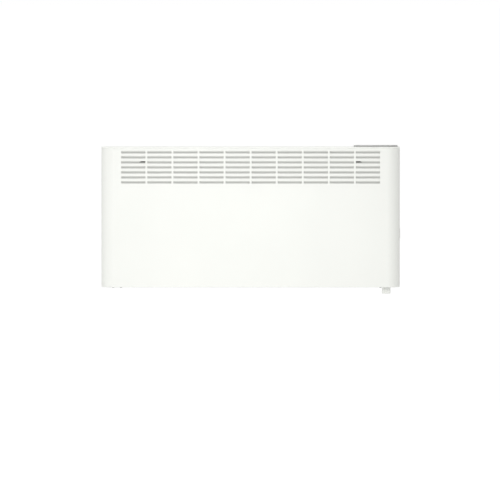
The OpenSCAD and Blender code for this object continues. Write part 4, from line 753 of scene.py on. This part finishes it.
def makeRockerMark(name, upper, look):
    centre, normal = rockerFace(upper)
    shape = bmesh.new()
    if upper:
        half = (look["thickness"] / 2, look["barWidth"] / 2, look["barLength"] / 2)
        addBlock(shape, [-h for h in half], half)
        lean = Vector((1, 0, 0)).rotation_difference(normal).to_matrix()
        bmesh.ops.rotate(shape, matrix=lean, verts=shape.verts)
        bmesh.ops.translate(shape, vec=centre + normal * look["thickness"] / 2, verts=shape.verts)
    else:
        inner, thick = look["ringRadius"] - look["ringWidth"], look["thickness"]
        outline = [(inner, 0.0), (look["ringRadius"], 0.0), (look["ringRadius"], thick), (inner, thick)]
        addTurned(shape, centre, normal, outline, steps=look["ringSteps"])
    newPiece(name, shape, "markInk", "rocker")


makeRockerMark("mark_on", True, rockerMark)
makeRockerMark("mark_off", False, rockerMark)
print("rocker marked")

# collars drawn from the fins where the tube passes
finCollar = {"length": 0.0018, "wall": 0.0004, "flare": 0.0005, "play": 0.00006}


def makeFinCollars(look):
    planes = sorted({round(vert.co.x, 4) for vert in nodes["element_fins"].data.vertices})
    fins = planes[1::2]  # the right face of each fin
    low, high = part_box("heating_tube")
    tubeR = (high[1] - low[1]) / 2
    middleY = (high[1] + low[1]) / 2
    inner = tubeR + look["play"]
    outline = [
        (inner, 0.0), (inner + look["wall"] + look["flare"], 0.0), (inner + look["wall"], look["flare"]),
        (inner + look["wall"], look["length"]), (inner, look["length"]),
    ]
    shape = bmesh.new()
    for x in fins:
        for z in (low[2] + tubeR, high[2] - tubeR):
            addTurned(shape, (x, middleY, z), (1, 0, 0), outline)
    newPiece("fin_collars", shape, "finAluminium")
    print("fin collars:", 2 * len(fins))


makeFinCollars(finCollar)

# spot on the power board, in millimetres from its lower left corner and out from its front face
boardLow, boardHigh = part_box("power_board")


def boardSpot(x, h, out=0.0):
    return Vector((boardLow[0] + x / 1000, boardLow[1] - out / 1000, boardLow[2] + h / 1000))


# packages with two rows of legs: place, length, width and thickness
boardChips = {
    "packages": [(17, 66, 10, 6, 1.6), (29, 62, 5, 4, 1.4), (34, 46, 4.6, 6.4, 3.2), (96, 24, 6, 5, 1.4)],
    "seat": 0.15,
    "edge": 0.2,
    "legPitch": 1.27,
    "legWidth": 0.45,
    "legReach": 0.9,
    "kneeShare": 0.4,
    "legSheet": 0.18,
}


# one leg: a foot on the board and a knee up to the middle of the package
def addChipLeg(shape, x, edge, way, thick, look):
    tip = edge + way * look["legReach"]
    knee = edge + way * look["legReach"] * look["kneeShare"]
    right = x + look["legWidth"]
    low, high = sorted((tip, edge))
    addBlock(shape, boardSpot(x, low, look["legSheet"]), boardSpot(right, high))
    low, high = sorted((knee, edge))
    addBlock(shape, boardSpot(x, low, thick / 2), boardSpot(right, high, look["legSheet"]))


def makeBoardChips(look):
    bodies, legs = bmesh.new(), bmesh.new()
    for x, h, length, width, thick in look["packages"]:
        far = boardSpot(x + length, h + width, look["seat"])
        addBlock(bodies, boardSpot(x, h, thick), far, look["edge"] / 1000)
        for k in range(int(length / look["legPitch"])):
            left = x + look["legWidth"] + k * look["legPitch"]
            addChipLeg(legs, left, h, -1, thick, look)
            addChipLeg(legs, left, h + width, 1, thick, look)
    newPiece("board_chips", bodies, "blackMoulding")
    newPiece("chip_legs", legs, "solder")


# resistors that lie on the board: their wires bend down into it; half their outline as radius, distance
boardResistors = {
    "places": [(17, 78), (17, 83), (17, 88), (31, 78), (31, 83)],
    "length": 6.5,
    "halfOutline": [(0.9, 0.0), (1.2, 0.4), (1.2, 1.4), (1.0, 2.0)],
    "steps": 16,
    "axisOut": 1.5,
    "wire": 0.5,
    "wireReach": 1.6,
}


def makeBoardResistors(look):
    bodies, wires = bmesh.new(), bmesh.new()
    length, half = look["length"], look["halfOutline"]
    whole = half + [(r, length - d) for r, d in reversed(half)]
    outline = [(r / 1000, d / 1000) for r, d in whole]
    out, wire = look["axisOut"], look["wire"] / 2
    for x, h in look["places"]:
        addTurned(bodies, boardSpot(x, h, out), (1, 0, 0), outline, capped=True, steps=look["steps"])
        for inner, way in ((x, -1), (x + length, 1)):
            outer = inner + way * look["wireReach"]
            left, right = sorted((inner, outer))
            addBlock(wires, boardSpot(left, h - wire, out + wire), boardSpot(right, h + wire, out - wire))
            addBlock(wires, boardSpot(outer - wire, h - wire, out + wire), boardSpot(outer + wire, h + wire))
    newPiece("board_resistors", bodies, "blueMoulding")
    newPiece("resistor_wires", wires, "solder")


# disc that stands on two wires and takes the spikes of the mains; its rim in shares of radius and thickness
boardVaristor = {
    "place": (97, 44),
    "radius": 4.5,
    "thick": 3.4,
    "rim": [(0.8, 0.0), (0.95, 0.12), (1.0, 0.35), (1.0, 0.65), (0.95, 0.88), (0.8, 1.0)],
    "steps": 28,
    "gap": 1.2,
    "wire": 0.6,
    "wireSpacing": 5.0,
    "wireShare": 0.3,
}


def makeBoardVaristor(look):
    disc, wires = bmesh.new(), bmesh.new()
    x, h = look["place"]
    r, t = look["radius"] / 1000, look["thick"] / 1000
    rim = [(r * share, t * along) for share, along in look["rim"]]
    centre = boardSpot(x, h, look["radius"] + look["gap"])
    addTurned(disc, centre, (1, 0, 0), rim, capped=True, steps=look["steps"])
    middle, half = x + look["thick"] / 2, look["wire"] / 2
    for way in (-0.5, 0.5):
        at = h + way * look["wireSpacing"]
        near = boardSpot(middle - half, at - half, look["gap"] + look["radius"] * look["wireShare"])
        addBlock(wires, near, boardSpot(middle + half, at + half))
    newPiece("board_varistor", disc, "blueMoulding")
    newPiece("varistor_wires", wires, "solder")


# small parts without wires, strewn over the free corner: left, bottom, right and top of the zone
boardGrains = {
    "count": 26,
    "seed": 11,
    "zone": (12, 60, 44, 92),
    "size": (1.3, 1.25, 0.6),
    "edge": 0.0001,
    "cap": 0.35,
    "capRise": 0.92,
    "capEdge": 0.00008,
    "apart": (3.2, 2.4),
    "chipMargin": (2, 1),
    "wireMargin": (4, 2.5, 2, 2),
}


# zones that chips and resistors hold, with a margin
def takenZones(look):
    before, after = look["chipMargin"]
    packages = boardChips["packages"]
    taken = [(x - before, h - before, x + l + after, h + w + after) for x, h, l, w, t in packages]
    left, bottom, right, top = look["wireMargin"]
    reach = boardResistors["length"] + right
    return taken + [(x - left, h - bottom, x + reach, h + top) for x, h in boardResistors["places"]]


def makeBoardGrains(look):
    scatter = random.Random(look["seed"])
    left, bottom, right, top = look["zone"]
    length, width, thick = look["size"]
    apartX, apartH = look["apart"]
    taken = takenZones(look)
    bodies, caps = bmesh.new(), bmesh.new()
    placed = 0
    while placed < look["count"]:
        x, h = scatter.uniform(left, right), scatter.uniform(bottom, top)
        if any(a < x < c and b < h < d for a, b, c, d in taken):
            continue
        taken.append((x - apartX, h - apartH, x + apartX, h + apartH))
        addBlock(bodies, boardSpot(x, h, thick), boardSpot(x + length, h + width), look["edge"])
        for start in (x - look["cap"], x + length):
            near = boardSpot(start, h, thick * look["capRise"])
            addBlock(caps, near, boardSpot(start + look["cap"], h + width), look["capEdge"])
        placed += 1
    newPiece("board_grains", bodies, "blackMoulding")
    newPiece("grain_caps", caps, "solder")


# yellow tape over the winding of the transformer: place and size of the winding, then the laps
transformerTape = {
    "winding": (45, 63, 22, 10, 19.02),
    "margin": 0.2,
    "sheet": 0.12,
    "laps": 3,
    "lapDrop": 3.1,
    "lapOver": 0.4,
    "lapRise": 0.02,
    "wrap": 5.0,
}


def makeTransformerTape(look):
    shape = bmesh.new()
    x, h, length, width, out = look["winding"]
    sheet, margin = look["sheet"], look["margin"]
    for k in range(look["laps"]):
        low, rise = h + margin + k * look["lapDrop"], out + k * look["lapRise"]
        high = min(low + look["lapDrop"] + look["lapOver"], h + width - margin)
        addBlock(shape, boardSpot(x - sheet, low, rise + sheet), boardSpot(x + length + sheet, high, rise))
        for left in (x - sheet, x + length):
            addBlock(shape, boardSpot(left, low, rise), boardSpot(left + sheet, high, rise - look["wrap"]))
    newPiece("transformer_tape", shape, "tapeYellow")


makeBoardChips(boardChips)
makeBoardResistors(boardResistors)
makeBoardVaristor(boardVaristor)
makeBoardGrains(boardGrains)
makeTransformerTape(transformerTape)
print("board parts placed")

# solder joints on the back of the power board, under the pins of what stands on it: rows by height
solderJoint = {
    "outline": [(0.0011, 0.00001), (0.00066, 0.00028), (0.0004, 0.00064), (0.00028, 0.0008)],
    "steps": 14,
    "rows": [
        (4.5, (16.2, 23.8, 37.2, 44.8, 58.2, 65.8, 79.2, 86.8)),
        (17, (17, 31)),
        (20, (46, 56, 66)),
        (36, (81, 87)),
        (38, (17, 31)),
        (40, (47, 65)),
        (56, (14, 28)),
        (57, (45, 52, 59)),
        (58, (81, 87)),
        (79, (45, 52, 67)),
    ],
}


def makeSolderJoints(look):
    shape = bmesh.new()
    outline = look["outline"]
    thick = (boardHigh[1] - boardLow[1]) * 1000
    for h, places in look["rows"]:
        for x in places:
            addTurned(shape, boardSpot(x, h, -thick), (0, 1, 0), outline, capped=True, steps=look["steps"])
    newPiece("solder_joints", shape, "solder")
    print("solder joints:", sum(len(places) for h, places in look["rows"]))


makeSolderJoints(solderJoint)

floorLook = {"height": -0.95, "reach": 60.0, "colour": (0.86, 0.86, 0.855), "rough": 0.9, "seenGlow": 0.45}
worldLook = {"fill": 0.66, "colour": (1.0, 1.0, 1.0)}
lampLooks = [
    {"name": "frontKey", "at": (-0.1, -1.55, -0.05), "aim": (-0.08, -0.1, -0.1),
     "size": (1.0, 0.7), "power": 7.25},
    {"name": "leftFill", "at": (-3.0, -1.2, 0.3), "aim": (-0.4, -0.1, -0.1),
     "size": (1.5, 1.5), "power": 8.5},
    {"name": "topFill", "at": (0.0, -0.04, 1.9), "aim": (0.0, -0.05, 0.05),
     "size": (1.6, 0.5), "power": 9.0},
]
cameraLook = {"elevation": 2.75, "distance": 30.0, "aim": (-0.0019, -0.1, -0.2597), "spanAtAim": 1.4965}


# 1 for rays that should see the bright backdrop: from the camera, off gloss and through glass
def seenRay(tree, at):
    path = addNode(tree, "ShaderNodeLightPath", at)
    camera, gloss, glass = [path.outputs[f"Is {kind} Ray"] for kind in ("Camera", "Glossy", "Transmission")]
    direct = mathNode(tree, "MAXIMUM", (at[0] + 200, at[1]), camera, gloss)
    return mathNode(tree, "MAXIMUM", (at[0] + 400, at[1]), direct, glass)


def makeFloor(look):
    reach = look["reach"]
    corners = [(x * reach, y * reach, look["height"]) for x, y in ((-1, -1), (1, -1), (1, 1), (-1, 1))]
    mesh = bpy.data.meshes.new("studioFloor")
    mesh.from_pydata(corners, [], [(0, 1, 2, 3)])
    floor = bpy.data.objects.new("studioFloor", mesh)
    bpy.context.scene.collection.objects.link(floor)
    material = bpy.data.materials.new("studioFloor")
    material.use_nodes = True
    tree = material.node_tree
    shader = tree.nodes["Principled BSDF"]
    shader.inputs["Base Color"].default_value = (*look["colour"], 1.0)
    shader.inputs["Roughness"].default_value = look["rough"]
    shader.inputs["Specular IOR Level"].default_value = 0.0
    shader.inputs["Emission Color"].default_value = (1.0, 1.0, 1.0, 1.0)
    glow = mathNode(tree, "MULTIPLY", (-100, -200), seenRay(tree, (-700, -200)), look["seenGlow"])
    tree.links.new(glow, shader.inputs["Emission Strength"])
    mesh.materials.append(material)


def makeWorld(look):
    world = bpy.data.worlds.new("studioWorld")
    world.use_nodes = True
    tree = world.node_tree
    background = tree.nodes["Background"]
    background.inputs["Color"].default_value = (*look["colour"], 1.0)
    strength = spread(tree, (-150, 0), seenRay(tree, (-750, 0)), look["fill"], 1.0, 0.0, 1.0)
    tree.links.new(strength, background.inputs["Strength"])
    bpy.context.scene.world = world


def makeLamp(look):
    light = bpy.data.lights.new(look["name"], "AREA")
    light.shape = "RECTANGLE"
    light.size, light.size_y = look["size"]
    light.energy = look["power"]
    lamp = bpy.data.objects.new(look["name"], light)
    lamp.location = look["at"]
    aim = Vector(look["aim"]) - Vector(look["at"])
    lamp.rotation_mode = "QUATERNION"
    lamp.rotation_quaternion = aim.to_track_quat("-Z", "Y")
    lamp.visible_camera = False
    bpy.context.scene.collection.objects.link(lamp)


def makeCamera(look):
    camera = bpy.data.cameras.new("photoCamera")
    camera.lens = camera.sensor_width * look["distance"] / look["spanAtAim"]
    camera.clip_end = look["distance"] * 4  # past the far edge of the floor
    tilt = math.radians(look["elevation"])
    back = Vector((0.0, -math.cos(tilt), math.sin(tilt)))
    eye = bpy.data.objects.new("photoCamera", camera)
    eye.location = Vector(look["aim"]) + back * look["distance"]
    eye.rotation_mode = "QUATERNION"
    eye.rotation_quaternion = (-back).to_track_quat("-Z", "Y")
    bpy.context.scene.collection.objects.link(eye)
    bpy.context.scene.camera = eye


makeFloor(floorLook)
makeWorld(worldLook)
for lampLook in lampLooks:
    makeLamp(lampLook)
makeCamera(cameraLook)
bpy.context.scene.view_settings.view_transform = "Standard"
print("stage ready")
